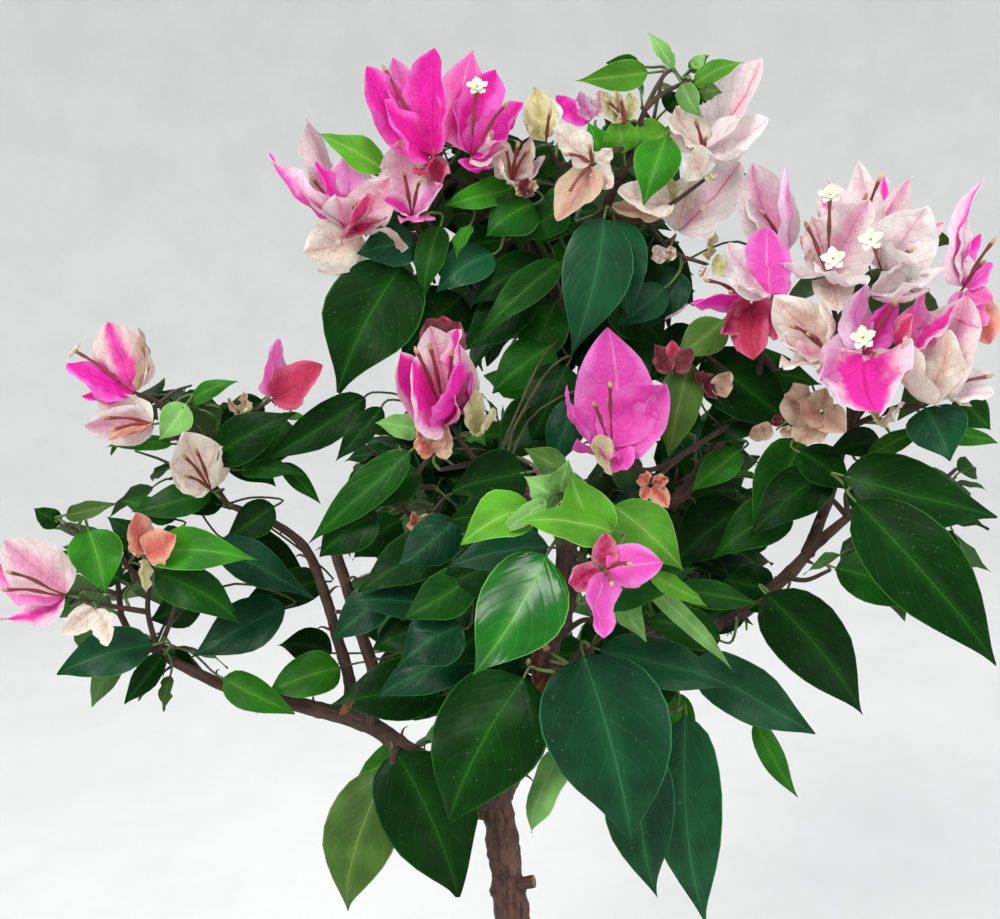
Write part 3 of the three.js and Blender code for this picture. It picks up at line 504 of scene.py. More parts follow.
# Windows, as seen, where no leaf of the rule stands because the crown is open there: from, to, radius
WINDOWS = np.array([
    [506, 919, 500, 850, 34], [0, 800, 290, 790, 62], [0, 880, 280, 880, 60], [0, 650, 40, 690, 34],
    [0, 730, 180, 740, 18], [20, 400, 40, 470, 40], [0, 250, 250, 60, 90], [920, 800, 1000, 760, 70],
    [850, 880, 1000, 880, 90], [310, 640, 316, 600, 16], [318, 480, 330, 420, 16], [300, 520, 300, 512, 12],
    [350, 640, 372, 690, 10], [330, 330, 300, 310, 40], [240, 300, 300, 330, 40], [200, 340, 240, 340, 30],
    [540, 345, 542, 350, 8], [650, 455, 655, 470, 10], [865, 620, 850, 600, 16], [690, 215, 700, 250, 14],
    [715, 200, 715, 300, 8], [285, 440, 300, 500, 12], [82, 440, 104, 468, 14], [1012, 476, 1012, 600, 20],
    [284, 236, 300, 262, 13], [60, 476, 130, 474, 14], [250, 210, 290, 214, 20],
], float)


def viewer_axes():
    pitch, roll = math.radians(VIEWER["pitch"]), math.radians(VIEWER["roll"])
    level = np.array([1.0, 0.0, 0.0])
    upright = np.array([0.0, math.sin(pitch), math.cos(pitch)])
    right = level * math.cos(roll) - upright * math.sin(roll)
    up = level * math.sin(roll) + upright * math.cos(roll)
    return right, up, np.array([0.0, math.cos(pitch), -math.sin(pitch)])


RIGHT, UP, FORWARD = viewer_axes()
EYE = np.array(VIEWER["eye"])


def seen(place):
    """The place that shows at u, v and lies at that depth."""
    u, v, depth = place
    ray = FORWARD * VIEWER["focal"] + RIGHT * (u - VIEWER["u"]) + UP * (VIEWER["v"] - v)
    return EYE + ray * (depth - EYE[1]) / ray[1]


def on_view(points):
    """Where points stand as seen: u, v and the distance ahead of the viewer."""
    away = points - EYE
    ahead = away @ FORWARD
    share = VIEWER["focal"] / ahead
    return np.stack([VIEWER["u"] + (away @ RIGHT) * share, VIEWER["v"] - (away @ UP) * share, ahead], -1)


def unit(vectors):
    return vectors / np.maximum(np.linalg.norm(vectors, axis=-1, keepdims=True), 1e-9)


def dot(a, b):
    return np.sum(a * b, -1, keepdims=True)


def upward(height):
    return np.array([0, 0, height])


def square_to(way, vector):
    """The unit vector nearest to a vector that stands square to the way."""
    return unit(vector - way * (vector @ way))


def swung(start, end, angle):
    """The start swung by an angle towards the end, which stands square to it."""
    return start * math.cos(angle) + end * math.sin(angle)


def round_angles(count):
    """Angles spread evenly round a circle."""
    return np.linspace(0, 2 * np.pi, count, endpoint=False)


def beside(points, start, end):
    """How far along each line, from 0 to 1, the place nearest each point lies, and the gap to it."""
    way = end - start
    share = np.clip(np.sum((points - start) * way, -1) / np.sum(way * way, -1), 0, 1)
    return share, np.linalg.norm(points - start - way * share[..., None], axis=-1)


def face_to_viewer(place):
    return unit(unit(EYE - place) + upward(FACE_LIGHT))


def seeded(text):
    """The source's small generator, so that its shoots stand in the same places here."""
    whole = 0xFFFFFFFF
    state = 0
    for letter in text:
        state = (state * 31 + ord(letter)) & whole

    def draw():
        nonlocal state
        state = (state + 0x6D2B79F5) & whole
        t = ((state ^ state >> 15) * (state | 1)) & whole
        t = ((t + ((t ^ t >> 7) * (t | 61) & whole)) ^ t) & whole
        return (t ^ t >> 14) / 4294967296

    return draw


# Meshes from arrays


def placed(name, data):
    """A new object in the scene."""
    made = bpy.data.objects.new(name, data)
    bpy.context.scene.collection.objects.link(made)
    return made


class Piece:
    """The faces of one joined mesh, four corners each."""

    def __init__(self):
        self.places, self.corners, self.maps, self.slots, self.tones, self.count = [], [], [], [], [], 0

    def add(self, places, corners, maps, slots=0, tones=0.5):
        self.places.append(places)
        self.corners.append(corners + self.count)
        self.maps.append(maps)
        self.slots.append(np.broadcast_to(slots, len(corners)))
        self.tones.append(np.broadcast_to(tones, len(corners)))
        self.count += len(places)

    def make(self, name, materials, slot=None, nodes=()):
        places, corners = np.concatenate(self.places) * MM, np.concatenate(self.corners)
        mesh = bpy.data.meshes.new(name)
        mesh.vertices.add(len(places))
        mesh.vertices.foreach_set("co", places.astype(np.float32).ravel())
        mesh.loops.add(corners.size)
        mesh.loops.foreach_set("vertex_index", corners.astype(np.int32).ravel())
        mesh.polygons.add(len(corners))
        mesh.polygons.foreach_set("loop_start", np.arange(0, corners.size, 4, dtype=np.int32))
        for material in materials:
            mesh.materials.append(material)
        mesh.polygons.foreach_set("material_index", np.concatenate(self.slots).astype(np.int32))
        mesh.polygons.foreach_set("use_smooth", np.ones(len(corners), bool))
        mesh.update(calc_edges=True)
        layer = mesh.uv_layers.new(name="Blade")
        layer.data.foreach_set("uv", np.concatenate(self.maps).astype(np.float32).ravel())
        tone = mesh.attributes.new("tone", "FLOAT", "FACE")
        tone.data.foreach_set("value", np.concatenate(self.tones).astype(np.float32))
        made = placed(name, mesh)
        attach(made, "root")
        if nodes:
            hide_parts(*nodes)
        return made


def grid(rows, columns, closed=False):
    """Corners and map of a sheet of rows × columns places; closed joins its sides to a tube."""
    row = np.arange(rows - 1)[:, None]
    column = np.arange(columns if closed else columns - 1)[None, :]
    after = (column + 1) % columns
    corners = np.stack([row * columns + column, row * columns + after, (row + 1) * columns + after,
        (row + 1) * columns + column], -1).reshape(-1, 4)
    across = np.stack(np.broadcast_arrays(column, column + 1, column + 1, column), -1) + 0 * row[..., None]
    along = np.stack(np.broadcast_arrays(row, row, row + 1, row + 1), -1) + 0 * column[..., None]
    width = columns if closed else columns - 1
    maps = np.stack([across / width, along / (rows - 1)], -1).reshape(-1, 4, 2)
    return corners, maps


def smooth(places, count):
    """Points along the Catmull-Rom curve through the places."""
    p = np.asarray(places, float)
    p = np.vstack([2 * p[0] - p[1], p, 2 * p[-1] - p[-2]])
    t = np.linspace(0, len(p) - 3, count)
    i = np.minimum(t.astype(int), len(p) - 4)
    f = (t - i)[:, None]
    a, b, c, d = p[i], p[i + 1], p[i + 2], p[i + 3]
    return 0.5 * (2 * b + (c - a) * f + (2 * a - 5 * b + 4 * c - d) * f**2 + (3 * b - a - 3 * c + d) * f**3)


def rings(path, radii, sides):
    """Places of a tube's rings; radii is one number a ring, or one a place."""
    tangents = unit(np.gradient(path, axis=0))
    side = np.array([1.0, 0.0, 0.0]) if abs(tangents[0][0]) < 0.9 else np.array([0.0, 1.0, 0.0])
    spokes = []
    turn = round_angles(sides)[:, None]
    for tangent in tangents:
        side = square_to(tangent, side)
        spokes.append(np.cos(turn) * side + np.sin(turn) * np.cross(tangent, side))
    radii = np.asarray(radii, float)
    if radii.size == 1:
        radii = np.full(len(path), radii)
    return path[:, None, :] + np.array(spokes) * radii.reshape(len(path), -1, 1)


def tube(target, path, radii, sides, slot=0, tone=0.5):
    """Adds a tube, closed at both ends."""
    around = rings(path, radii, sides)
    ends = 0 * around[:1] + path[[0, -1], None, :]
    around = np.concatenate([ends[:1], around, ends[1:]])
    corners, maps = grid(len(around), sides, closed=True)
    length = np.linalg.norm(np.diff(path, axis=0), axis=1).sum()
    maps = maps * np.array([1.0, length / 10])
    target.add(around.reshape(-1, 3), corners, maps, slot, tone)


# Blades: a leaf or a bract is a sheet that is folded, cupped, arched and waved

BLADE_FORM = {
    "fold": 0.2, "skew": 0.0, "cup": 0.1, "curl": 0.0, "wave": 0.05, "waves": 2.0, "arch": 0.06,
    "bow": 0.0, "twist": 0.0, "hook": 0.0, "crumple": 0.0, "power": 1.0,
}
CREASES = ((0.3, 2.3), (1.4, 3.4), (2.6, 4.6))  # direction, and how many across a blade


def blades(target, foot, tip, width, face, form, profile, stations, across, slots, tones, strips=0):
    """Adds many blades at once; form holds one number, or one a blade, for each way a blade bends."""
    count = len(foot)
    if not count:
        return
    form = {key: np.broadcast_to(np.asarray(value, float), count)[:, None, None]
        for key, value in {**BLADE_FORM, **form}.items()}
    length = np.linalg.norm(tip - foot, axis=1)[:, None, None]
    width = width[:, None, None]
    along = unit(tip - foot)
    normal = unit(face - dot(face, along) * along)
    side = np.cross(along, normal)
    t, s = stations[None, :, None], across[None, None, :]
    share = np.interp(stations, *profile)[None, :, None] ** form["power"]
    half = width / 2 * share
    x = half * s
    phase = 2 * np.pi * (np.arange(count)[:, None, None] * 0.618 % 1)
    lift = form["fold"] * (1 + form["skew"] * np.sign(s)) * np.abs(x)
    lift = lift - half * (form["cup"] * s**2 + form["curl"] * np.abs(s) ** 3)
    edge = np.sin(2 * np.pi * form["waves"] * t + phase + 1.9 * (s > 0))
    lift = lift + form["wave"] * width / 2 * np.abs(s) ** 1.5 * edge
    for turn, beat in CREASES:
        run = t * np.cos(turn + phase) + s * np.sin(turn + phase) * width / length / 2
        lift = lift + form["crumple"] * share * (0.5 - np.abs(np.sin(np.pi * beat * run + 3 * phase)))
    angle = form["twist"] * (t - 0.3)
    x, lift = x * np.cos(angle) - lift * np.sin(angle), x * np.sin(angle) + lift * np.cos(angle)
    x = x + form["bow"] * length * 4 * t * (1 - t)
    lift = lift + form["arch"] * length * 4 * t * (1 - t)
    lift = lift - form["hook"] * length * np.clip((t - 0.6) / 0.4, 0, 1) ** 2
    places = (foot[:, None, None] + along[:, None, None] * (t * length)[..., None]
        + side[:, None, None] * x[..., None] + normal[:, None, None] * lift[..., None])
    rows, columns = len(stations) - 1, len(across) - 1
    column, row = np.tile(np.arange(columns), rows), np.repeat(np.arange(rows), columns)
    u = (across + 1) / 2
    maps = np.stack([np.stack([u[:-1], u[1:], u[1:], u[:-1]], -1)[column],
        np.stack([stations[:-1], stations[:-1], stations[1:], stations[1:]], -1)[row]], -1)
    corners = grid(len(stations), len(across))[0]
    each = len(stations) * len(across)
    corners = (corners[None] + (np.arange(count) * each)[:, None, None]).reshape(-1, 4)
    strips = np.broadcast_to(strips, columns)[column]
    slots = np.broadcast_to(slots, count)[:, None] + strips[None, :]
    target.add(places.reshape(-1, 3), corners, np.tile(maps, (count, 1, 1)), slots.reshape(-1),
        np.repeat(tones, len(column)))


# Materials


def srgb(red, green, blue):
    """A colour as the eye reads it, 0 to 255, in the renderer's linear light."""
    share = np.array([red, green, blue]) / 255
    return (*np.where(share <= 0.04045, share / 12.92, ((share + 0.055) / 1.055) ** 2.4), 1.0)


def darker(colour, share):
    return (*(share * part for part in colour[:3]), 1.0)


class Nodes:
    """A material's nodes, with short ways to make and join them."""

    def __init__(self, name):
        self.material = bpy.data.materials.new(name)
        self.material.use_nodes = True
        self.tree = self.material.node_tree
        self.shader = self.tree.nodes["Principled BSDF"]
        self.output = self.tree.nodes["Material Output"]

    def put(self, target, value):
        if isinstance(value, bpy.types.NodeSocket):
            self.tree.links.new(value, target)
        else:
            target.default_value = value

    def new(self, kind, output=0, settings=None, **inputs):
        """Adds a node and gives one of its outputs; an input goes by its name, or by its number as _0."""
        node = self.tree.nodes.new("ShaderNode" + kind)
        for key, value in (settings or {}).items():
            setattr(node, key, value)
        for key, value in inputs.items():
            at = int(key[1:]) if key[0] == "_" else key.replace("_", " ")
            self.put(node.inputs[at], value)
        return node.outputs[output]

    def math(self, operation, a, b=0.0, c=0.0):
        return self.new("Math", settings={"operation": operation}, _0=a, _1=b, _2=c)

    def ramp(self, value, low, high, to_low=0.0, to_high=1.0):
        """Rises smoothly from one number to another as the value goes from low to high."""
        return self.new("MapRange", settings={"interpolation_type": "SMOOTHSTEP"}, Value=value,
            From_Min=low, From_Max=high, To_Min=to_low, To_Max=to_high)

    def mix(self, share, a, b, blend="MIX"):
        return self.new("Mix", 2, {"data_type": "RGBA", "blend_type": blend}, _0=share, _6=a, _7=b)

    def own(self):
        """Each point's place in the object's own frame."""
        return self.new("TexCoord", 3)

    def parts(self, vector):
        return self.new("SeparateXYZ", Vector=vector).node.outputs

    def blade(self):
        """How far across and along its blade or tube each point lies."""
        return self.parts(self.new("UVMap", settings={"uv_map": "Blade"}))[:2]

    def noise(self, scale, detail=3.0, rough=0.5, where=None):
        where = self.own() if where is None else where
        return self.new("TexNoise", Vector=where, Scale=scale, Detail=detail, Roughness=rough)

    def bump(self, height, distance, strength):
        return self.new("Bump", Height=height, Distance=distance, Strength=strength)

    def finish(self, colour, roughness, bump=None, **settings):
        self.put(self.shader.inputs["Base Color"], colour)
        self.put(self.shader.inputs["Roughness"], roughness)
        if bump is not None:
            self.put(self.shader.inputs["Normal"], bump)
        for key, value in settings.items():
            self.shader.inputs[key.replace("_", " ")].default_value = value
        return self.material

    def lit_through(self, colour, share):
        """Lets some light through the thin sheet."""
        clear = self.new("BsdfTranslucent", Color=colour)
        both = self.new("MixShader", _0=share, _1=self.shader.outputs[0], _2=clear)
        self.put(self.output.inputs["Surface"], both)
        return self.material


def veins(m, count, slant):
    """How far each point lies from a side vein, 0 on it and 1 between two, and from the midrib."""
    across, along = m.blade()
    out = m.math("ABSOLUTE", m.math("MULTIPLY_ADD", across, 2.0, -1.0))
    way = m.math("SUBTRACT", along, m.math("MULTIPLY", m.math("POWER", out, 1.3), slant))
    return m.math("ABSOLUTE", m.math("SINE", m.math("MULTIPLY", way, count * math.pi))), out


LEAF_KINDS = {  # colour, colour of veins and margin, roughness, how much it mirrors
    "dark": ((9, 50, 8), (58, 118, 42), 0.42, 0.06),
    "mid": ((20, 76, 13), (82, 144, 54), 0.44, 0.08),
    # teal and tealdark: greens tinted blue as painted reflection of the pale sky on these glossy leaves,
    # over their own green
    "teal": ((15, 76, 42), (74, 140, 92), 0.38, 0.15),
    "tealdark": ((11, 61, 34), (60, 126, 78), 0.40, 0.12),
    "wet": ((17, 94, 17), (124, 192, 82), 0.25, 0.3),
    "bright": ((44, 118, 18), (122, 184, 74), 0.46, 0.12),
    "young": ((84, 150, 36), (168, 208, 112), 0.5, 0.12),
    "pale": ((116, 168, 88), (180, 212, 140), 0.52, 0.12),
    "olive": ((66, 100, 36), (132, 156, 84), 0.5, 0.15),
    "dry": ((112, 66, 40), (150, 104, 70), 0.8, 0.2),
}
UNDERSIDE = srgb(116, 156, 96)


def toned(m, shade, low, high):
    """The colour made darker or lighter by each blade's own tone."""
    tone = m.new("Attribute", 2, {"attribute_name": "tone", "attribute_type": "GEOMETRY"})
    level = m.ramp(tone, 0.0, 1.0, low, high)
    return m.mix(1.0, shade, m.new("CombineColor", Red=level, Green=level, Blue=level), "MULTIPLY")


def leaf_materials(kind):
    colour, light, roughness, mirror = LEAF_KINDS[kind]
    colour, light = srgb(*colour), srgb(*light)
    under = tuple(0.5 * a + 0.5 * b for a, b in zip(UNDERSIDE, colour))
    made = []
    for part in ("body", "margin", "rib"):
        m = Nodes(f"leaf_{kind}_{part}")
        behind = m.new("NewGeometry", 6)
        if part != "body":
            shade = m.mix(0.34 if part == "rib" else 0.44, colour, light)
            shade = toned(m, m.mix(m.math("MULTIPLY", behind, 0.7), shade, under), 0.75, 1.25)
            made.append(m.finish(shade, roughness + 0.05, Specular_IOR_Level=mirror))
            continue
        between, out = veins(m, 6.0, 0.4)
        blotch = m.noise(60.0, 3.0)
        speck = m.noise(650.0, 2.0)
        shade = m.mix(m.ramp(blotch, 0.32, 0.72), darker(colour, 0.6), colour)
        shade = m.mix(m.ramp(between, 0.1, 0.0, 0.0, 0.14), shade, light)
        shade = m.mix(m.ramp(out, 0.3, 0.0, 0.0, 0.12), shade, light)
        shade = m.mix(m.ramp(speck, 0.68, 0.76, 0.0, 0.2), shade, UNDERSIDE)
        shade = toned(m, m.mix(m.math("MULTIPLY", behind, 0.7), shade, under), 0.75, 1.25)
        gloss = m.ramp(blotch, 0.35, 0.65, roughness + 0.1, roughness - 0.08)
        quilt = m.math("ADD", m.ramp(between, 0.0, 0.8, 0.0, 0.45), m.math("MULTIPLY", blotch, 1.4))
        made.append(m.finish(shade, gloss, m.bump(quilt, 0.0003, 0.45), Specular_IOR_Level=mirror))
    return made


BRACT_TINTS = {  # body, flush beside the midrib, veins, how far the flush spreads
    "orchid": ((246, 116, 214), (236, 44, 174), (196, 22, 138), 0.7),
    "hot": ((252, 142, 226), (248, 92, 202), (254, 178, 230), 0.7),
    "rimmed": ((250, 222, 236), (242, 54, 178), (202, 34, 136), 0.68),
    "flush": ((246, 212, 228), (242, 66, 184), (210, 50, 144), 0.5),
    "pink": ((246, 156, 212), (242, 104, 188), (250, 184, 222), 0.6),
    "rosy": ((236, 146, 172), (220, 66, 122), (176, 50, 96), 0.6),
    "rose": ((222, 106, 138), (196, 58, 94), (150, 44, 68), 0.65),
    "dusk": ((152, 86, 92), (120, 54, 62), (86, 40, 44), 0.7),
    "coral": ((234, 176, 152), (220, 118, 108), (184, 92, 86), 0.5),
    "peach": ((220, 192, 164), (208, 156, 140), (180, 124, 112), 0.4),
    "shell": ((238, 222, 222), (234, 168, 196), (216, 142, 168), 0.38),
    "vein": ((238, 224, 224), (236, 192, 206), (204, 60, 98), 0.2),
    "streak": ((236, 212, 206), (242, 84, 184), (214, 60, 152), 0.42),
    "lilac": ((242, 212, 236), (236, 146, 210), (212, 118, 178), 0.5),
    "ash": ((222, 204, 204), (218, 176, 186), (184, 136, 144), 0.4),
    "white": ((240, 236, 232), (236, 206, 216), (222, 182, 194), 0.25),
    "cream": ((244, 236, 222), (238, 212, 200), (208, 164, 154), 0.33),
    "lemon": ((222, 218, 174), (210, 204, 144), (176, 170, 112), 0.4),
    "tan": ((218, 192, 168), (198, 162, 140), (158, 118, 98), 0.5),
}


def bract_material(tint):
    *colours, spread = BRACT_TINTS[tint]
    body, flush, line = (srgb(*colour) for colour in colours)
    m = Nodes("bract_" + tint)
    between, out = veins(m, 5.0, 0.45)
    cloud = m.noise(75.0, 3.0, 0.6)
    reach = m.math("ADD", out, m.math("MULTIPLY_ADD", cloud, 1.3, -0.65))
    shade = m.mix(m.ramp(reach, spread + 0.3, spread - 0.3), body, flush)
    net = m.new("TexVoronoi", settings={"feature": "DISTANCE_TO_EDGE"}, Vector=m.own(), Scale=230.0)
    fine = m.ramp(net, 0.07, 0.0)
    side = m.ramp(between, 0.22, 0.0, 0.0, 0.22)
    lines = m.math("MAXIMUM", side, m.math("MULTIPLY", fine, 0.06))
    lines = m.math("MAXIMUM", lines, m.ramp(out, 0.07, 0.01, 0.0, 0.65))
    shade = toned(m, m.mix(lines, shade, line), 0.9, 1.1)
    sunk = m.math("ADD", side, m.math("MULTIPLY", fine, 0.3))
    height = m.math("SUBTRACT", m.math("MULTIPLY", cloud, 1.5), sunk)
    m.finish(shade, 0.58, m.bump(height, 0.0009, 0.7), Specular_IOR_Level=0.25)
    return m.lit_through(shade, 0.3)


PLAIN = {  # colour, darker colour, roughness, grain, and the depth of the relief in metres
    "cut_wood": ((176, 142, 108), (110, 78, 56), 0.8, 200.0, 0.0004),
    "stalk": ((92, 124, 56), (66, 84, 38), 0.5, 90.0, 0.0004),
    "green_twig": ((78, 84, 38), (58, 44, 30), 0.55, 90.0, 0.0004),
    "thorn": ((110, 72, 50), (60, 36, 26), 0.5, 90.0, 0.0004),
    "tube": ((150, 56, 62), (104, 62, 42), 0.55, 90.0, 0.0004),
    "tube_tip": ((206, 172, 128), (150, 112, 76), 0.6, 160.0, 0.0004),
    "star": ((240, 240, 226), (216, 222, 190), 0.6, 160.0, 0.0004),
    "eye": ((150, 170, 60), (116, 136, 44), 0.6, 160.0, 0.0004),
    "soil": ((82, 62, 46), (38, 27, 20), 0.95, 180.0, 0.0012),
    "crumb": ((96, 70, 50), (44, 31, 23), 0.95, 200.0, 0.0008),
    "grit": ((214, 208, 194), (170, 160, 142), 0.9, 200.0, 0.0006),
    "floor": ((220, 220, 219), (214, 214, 213), 0.85, 6.0, 0.0001),
}
BARK = {  # colour, furrows, worn ridges
    "bark": ((96, 64, 51), (48, 30, 23), (132, 102, 86)),
    "bough_bark": ((82, 53, 43), (40, 25, 20), (112, 86, 72)),
    "young_bark": ((84, 58, 42), (44, 30, 22), (98, 88, 54)),
}


def plain(name):
    """A surface mottled between two colours, with a fine relief."""
    colour, dark, roughness, scale, depth = PLAIN[name]
    m = Nodes(name)
    grain = m.noise(scale, 5.0, 0.6)
    shade = m.mix(m.ramp(grain, 0.3, 0.7), srgb(*dark), srgb(*colour))
    return m.finish(shade, roughness, m.bump(grain, depth, 0.7))


def bark_material(name):
    colour, dark, pale = (srgb(*shade) for shade in BARK[name])
    m = Nodes(name)
    around, along = m.blade()
    turn = m.math("MULTIPLY", around, 2 * math.pi)
    skin = m.new("CombineXYZ", X=m.math("COSINE", turn), Y=m.math("SINE", turn),
        Z=m.math("MULTIPLY", along, 0.22))
    fibre = m.noise(3.4, 6.0, 0.6, skin)
    patch = m.noise(38.0, 5.0, 0.6)
    closer = m.new("VectorMath", settings={"operation": "MULTIPLY"}, _0=skin, _1=(4.2, 4.2, 16.0))
    spots = m.new("TexVoronoi", Vector=closer, Scale=1.0)
    shade = m.mix(m.ramp(fibre, 0.36, 0.62), dark, colour)
    shade = m.mix(m.ramp(patch, 0.5, 0.7, 0.0, 0.7), shade, pale)
    shade = m.mix(m.ramp(spots, 0.24, 0.12, 0.0, 0.6), shade, darker(dark, 0.45))
    height = m.math("SUBTRACT", fibre, m.ramp(spots, 0.26, 0.12, 0.0, 0.35))
    return m.finish(shade, 0.78, m.bump(height, 0.0013, 0.9))


PIECES = {}


def piece(name):
    """The joined piece with that name, begun at its first use."""
    return PIECES.setdefault(name, Piece())


# Bark


JOINT_RINGS = {"apart": 17.0, "vary": 5.0, "swell": 0.10, "width": 1.7}
RIDGES = [[5, 1.0, 3, 0], [9, 0.6, -5, 1], [14, 0.4, 0, 2]]  # how many around, depth, twist, start
RIDGE_TWIST = 0.012
ROUGH = {"flatten": [1, 1, 0.45], "scale": 0.16, "depth": 1.6}


def relief(places, scale, soft, step):
    """How far noise lifts each place, from about -1 to 1."""
    return np.array([noise.fractal(Vector(place * scale), soft, step, 4) for place in places])


def bark(target, path, radii, sides, ridge):
    """A limb's bark: long ridges, the swollen rings of old leaf joints, and a rough skin."""
    length = np.concatenate([[0], np.cumsum(np.linalg.norm(np.diff(path, axis=0), axis=1))])
    apart = JOINT_RINGS["apart"] + JOINT_RINGS["vary"] * np.sin(length[-1])
    off_ring = ((length % apart) - apart / 2) / JOINT_RINGS["width"]
    radii = np.asarray(radii) * (1 + JOINT_RINGS["swell"] * np.exp(-off_ring ** 2))
    turn = round_angles(sides)
    twist = RIDGE_TWIST * length[:, None]
    folds = sum(depth * np.sin(count * turn + twist * winds + start)
        for count, depth, winds, start in RIDGES)
    lift = (ridge * radii[:, None] * folds / 2).reshape(-1)
    skin = rings(path, radii, sides).reshape(-1, 3) * np.array(ROUGH["flatten"])
    rough = relief(skin, ROUGH["scale"], 0.6, 2.1) * ridge * ROUGH["depth"]
    lift = lift + rough * np.repeat(radii, sides)
    tube(target, path, (np.repeat(radii, sides) + lift).reshape(len(path), sides), sides)


def limb_radii(foot, tip, count):
    """Radii that taper from foot to tip, and a little more near the tip."""
    share = np.linspace(0, 1, count)
    return (foot + (tip - foot) * share**0.8) * (1 - 0.3 * np.clip((share - 0.6) / 0.4, 0, 1))


def grow_trunk():
    places = [np.array(p, float) for p in TRUNK["low"]] + [seen(p) for p in TRUNK["high"]]
    path = smooth(places, TRUNK["rings"])
    height = path[:, 2] - SOIL_LEVEL
    radii = TRUNK["foot"] + (TRUNK["fork"] - TRUNK["foot"]) * np.linspace(0, 1, len(path))
    radii = radii + TRUNK["flare"] * np.exp(-np.maximum(height, 0) / TRUNK["flare_height"])
    for depth, beat, start in TRUNK["swells"]:
        radii = radii + depth * np.sin(beat * height + start)
    bark(piece("trunk_bark"), path, radii, TRUNK["sides"], TRUNK["ridge"])
    for place, way, length, radius in STUBS:
        stub(seen(place), unit(np.array(way)), length, radius)


def stub(at, way, length, radius):
    """The short end of an old bough, with cut wood over its last ring of faces."""
    shape = np.array([1.9, 1.5, 1.2, 1.05, 1.0, 1.0, 1.04, 1.0])
    path = at + way * np.linspace(-4, length, len(shape))[:, None]
    cut = np.repeat(np.arange(len(shape) + 1) == len(shape), STUB_SIDES).astype(int)
    tube(piece("trunk_bark"), path, radius * shape, STUB_SIDES, cut)


def grow_boughs():
    for name, [((_, foot, tip), *places)] in LIMBS.items():
        path = smooth([seen(p) for p in places], BOUGH["rings"] * (len(places) - 1) + 1)
        radii = limb_radii(foot, tip, len(path))
        radii[:BOUGH["flare_rings"]] *= 1 + BOUGH["flare"] * np.linspace(1, 0, BOUGH["flare_rings"])
        bark(piece("bough_bark"), path, radii, BOUGH["sides"], BOUGH["ridge"])
        thorns(name, path, radii)


def thorns(name, path, radii):
    """A few hooked thorns stand in the joints of each limb."""
    draw = seeded(name + " thorns")
    for i in range(THORN["first"], len(path) - THORN["last"], THORN["every"]):
        way = unit(path[i + 1] - path[i])
        out = unit(np.cross(way, [draw() - 0.5, draw() - 0.5, draw() - 0.5]))
        length = THORN["length"] * (1 + draw())
        hook = path[i] + out * radii[i] * 0.7
        bend = hook + out * length * 0.6 + way * length * 0.25
        end = hook + out * length + way * length * 0.1
        tube(piece("thorns"), smooth([hook, bend, end], 6), np.linspace(THORN["radius"], 0.1, 6), 6)


# The rule


class Capsules:
    """What stands in view by name: a leaf of the rule in front of one of these is left out."""

    def __init__(self):
        self.rows = []

    def add(self, foot, tip, half):
        a, b = on_view(np.array([foot, tip]))
        self.rows.append([*a[:2], *b[:2], half * VIEWER["focal"] / a[2], a[2], b[2]])

    def hides(self, places, half, margin=8.0):
        """Whether places, seen from the front, lie over a named piece that is no nearer."""
        if not self.rows:
            return False
        rows = np.array(self.rows)
        at = on_view(places)[:, None, :]
        share, gap = beside(at[..., :2], rows[None, :, :2], rows[None, :, 2:4])
        near = gap < rows[None, :, 4] + half * VIEWER["focal"] / at[..., 2]
        depth = rows[None, :, 5] + share * (rows[None, :, 6] - rows[None, :, 5])
        return bool(np.any(near & (at[..., 2] < depth + margin)))


NAMED = Capsules()


def in_window(places, half):
    _, gap = beside(on_view(places)[:, None, :2], WINDOWS[None, :, :2], WINDOWS[None, :, 2:4])
    return bool(np.any(gap < WINDOWS[None, :, 4] + half))


LEAF_ROWS = []  # foot, tip, width, face, kind, whether it stands in view by name
SPRAY_KINDS = ["dark", "dark", "mid", "dark", "tealdark", "mid", "dark", "bright"]


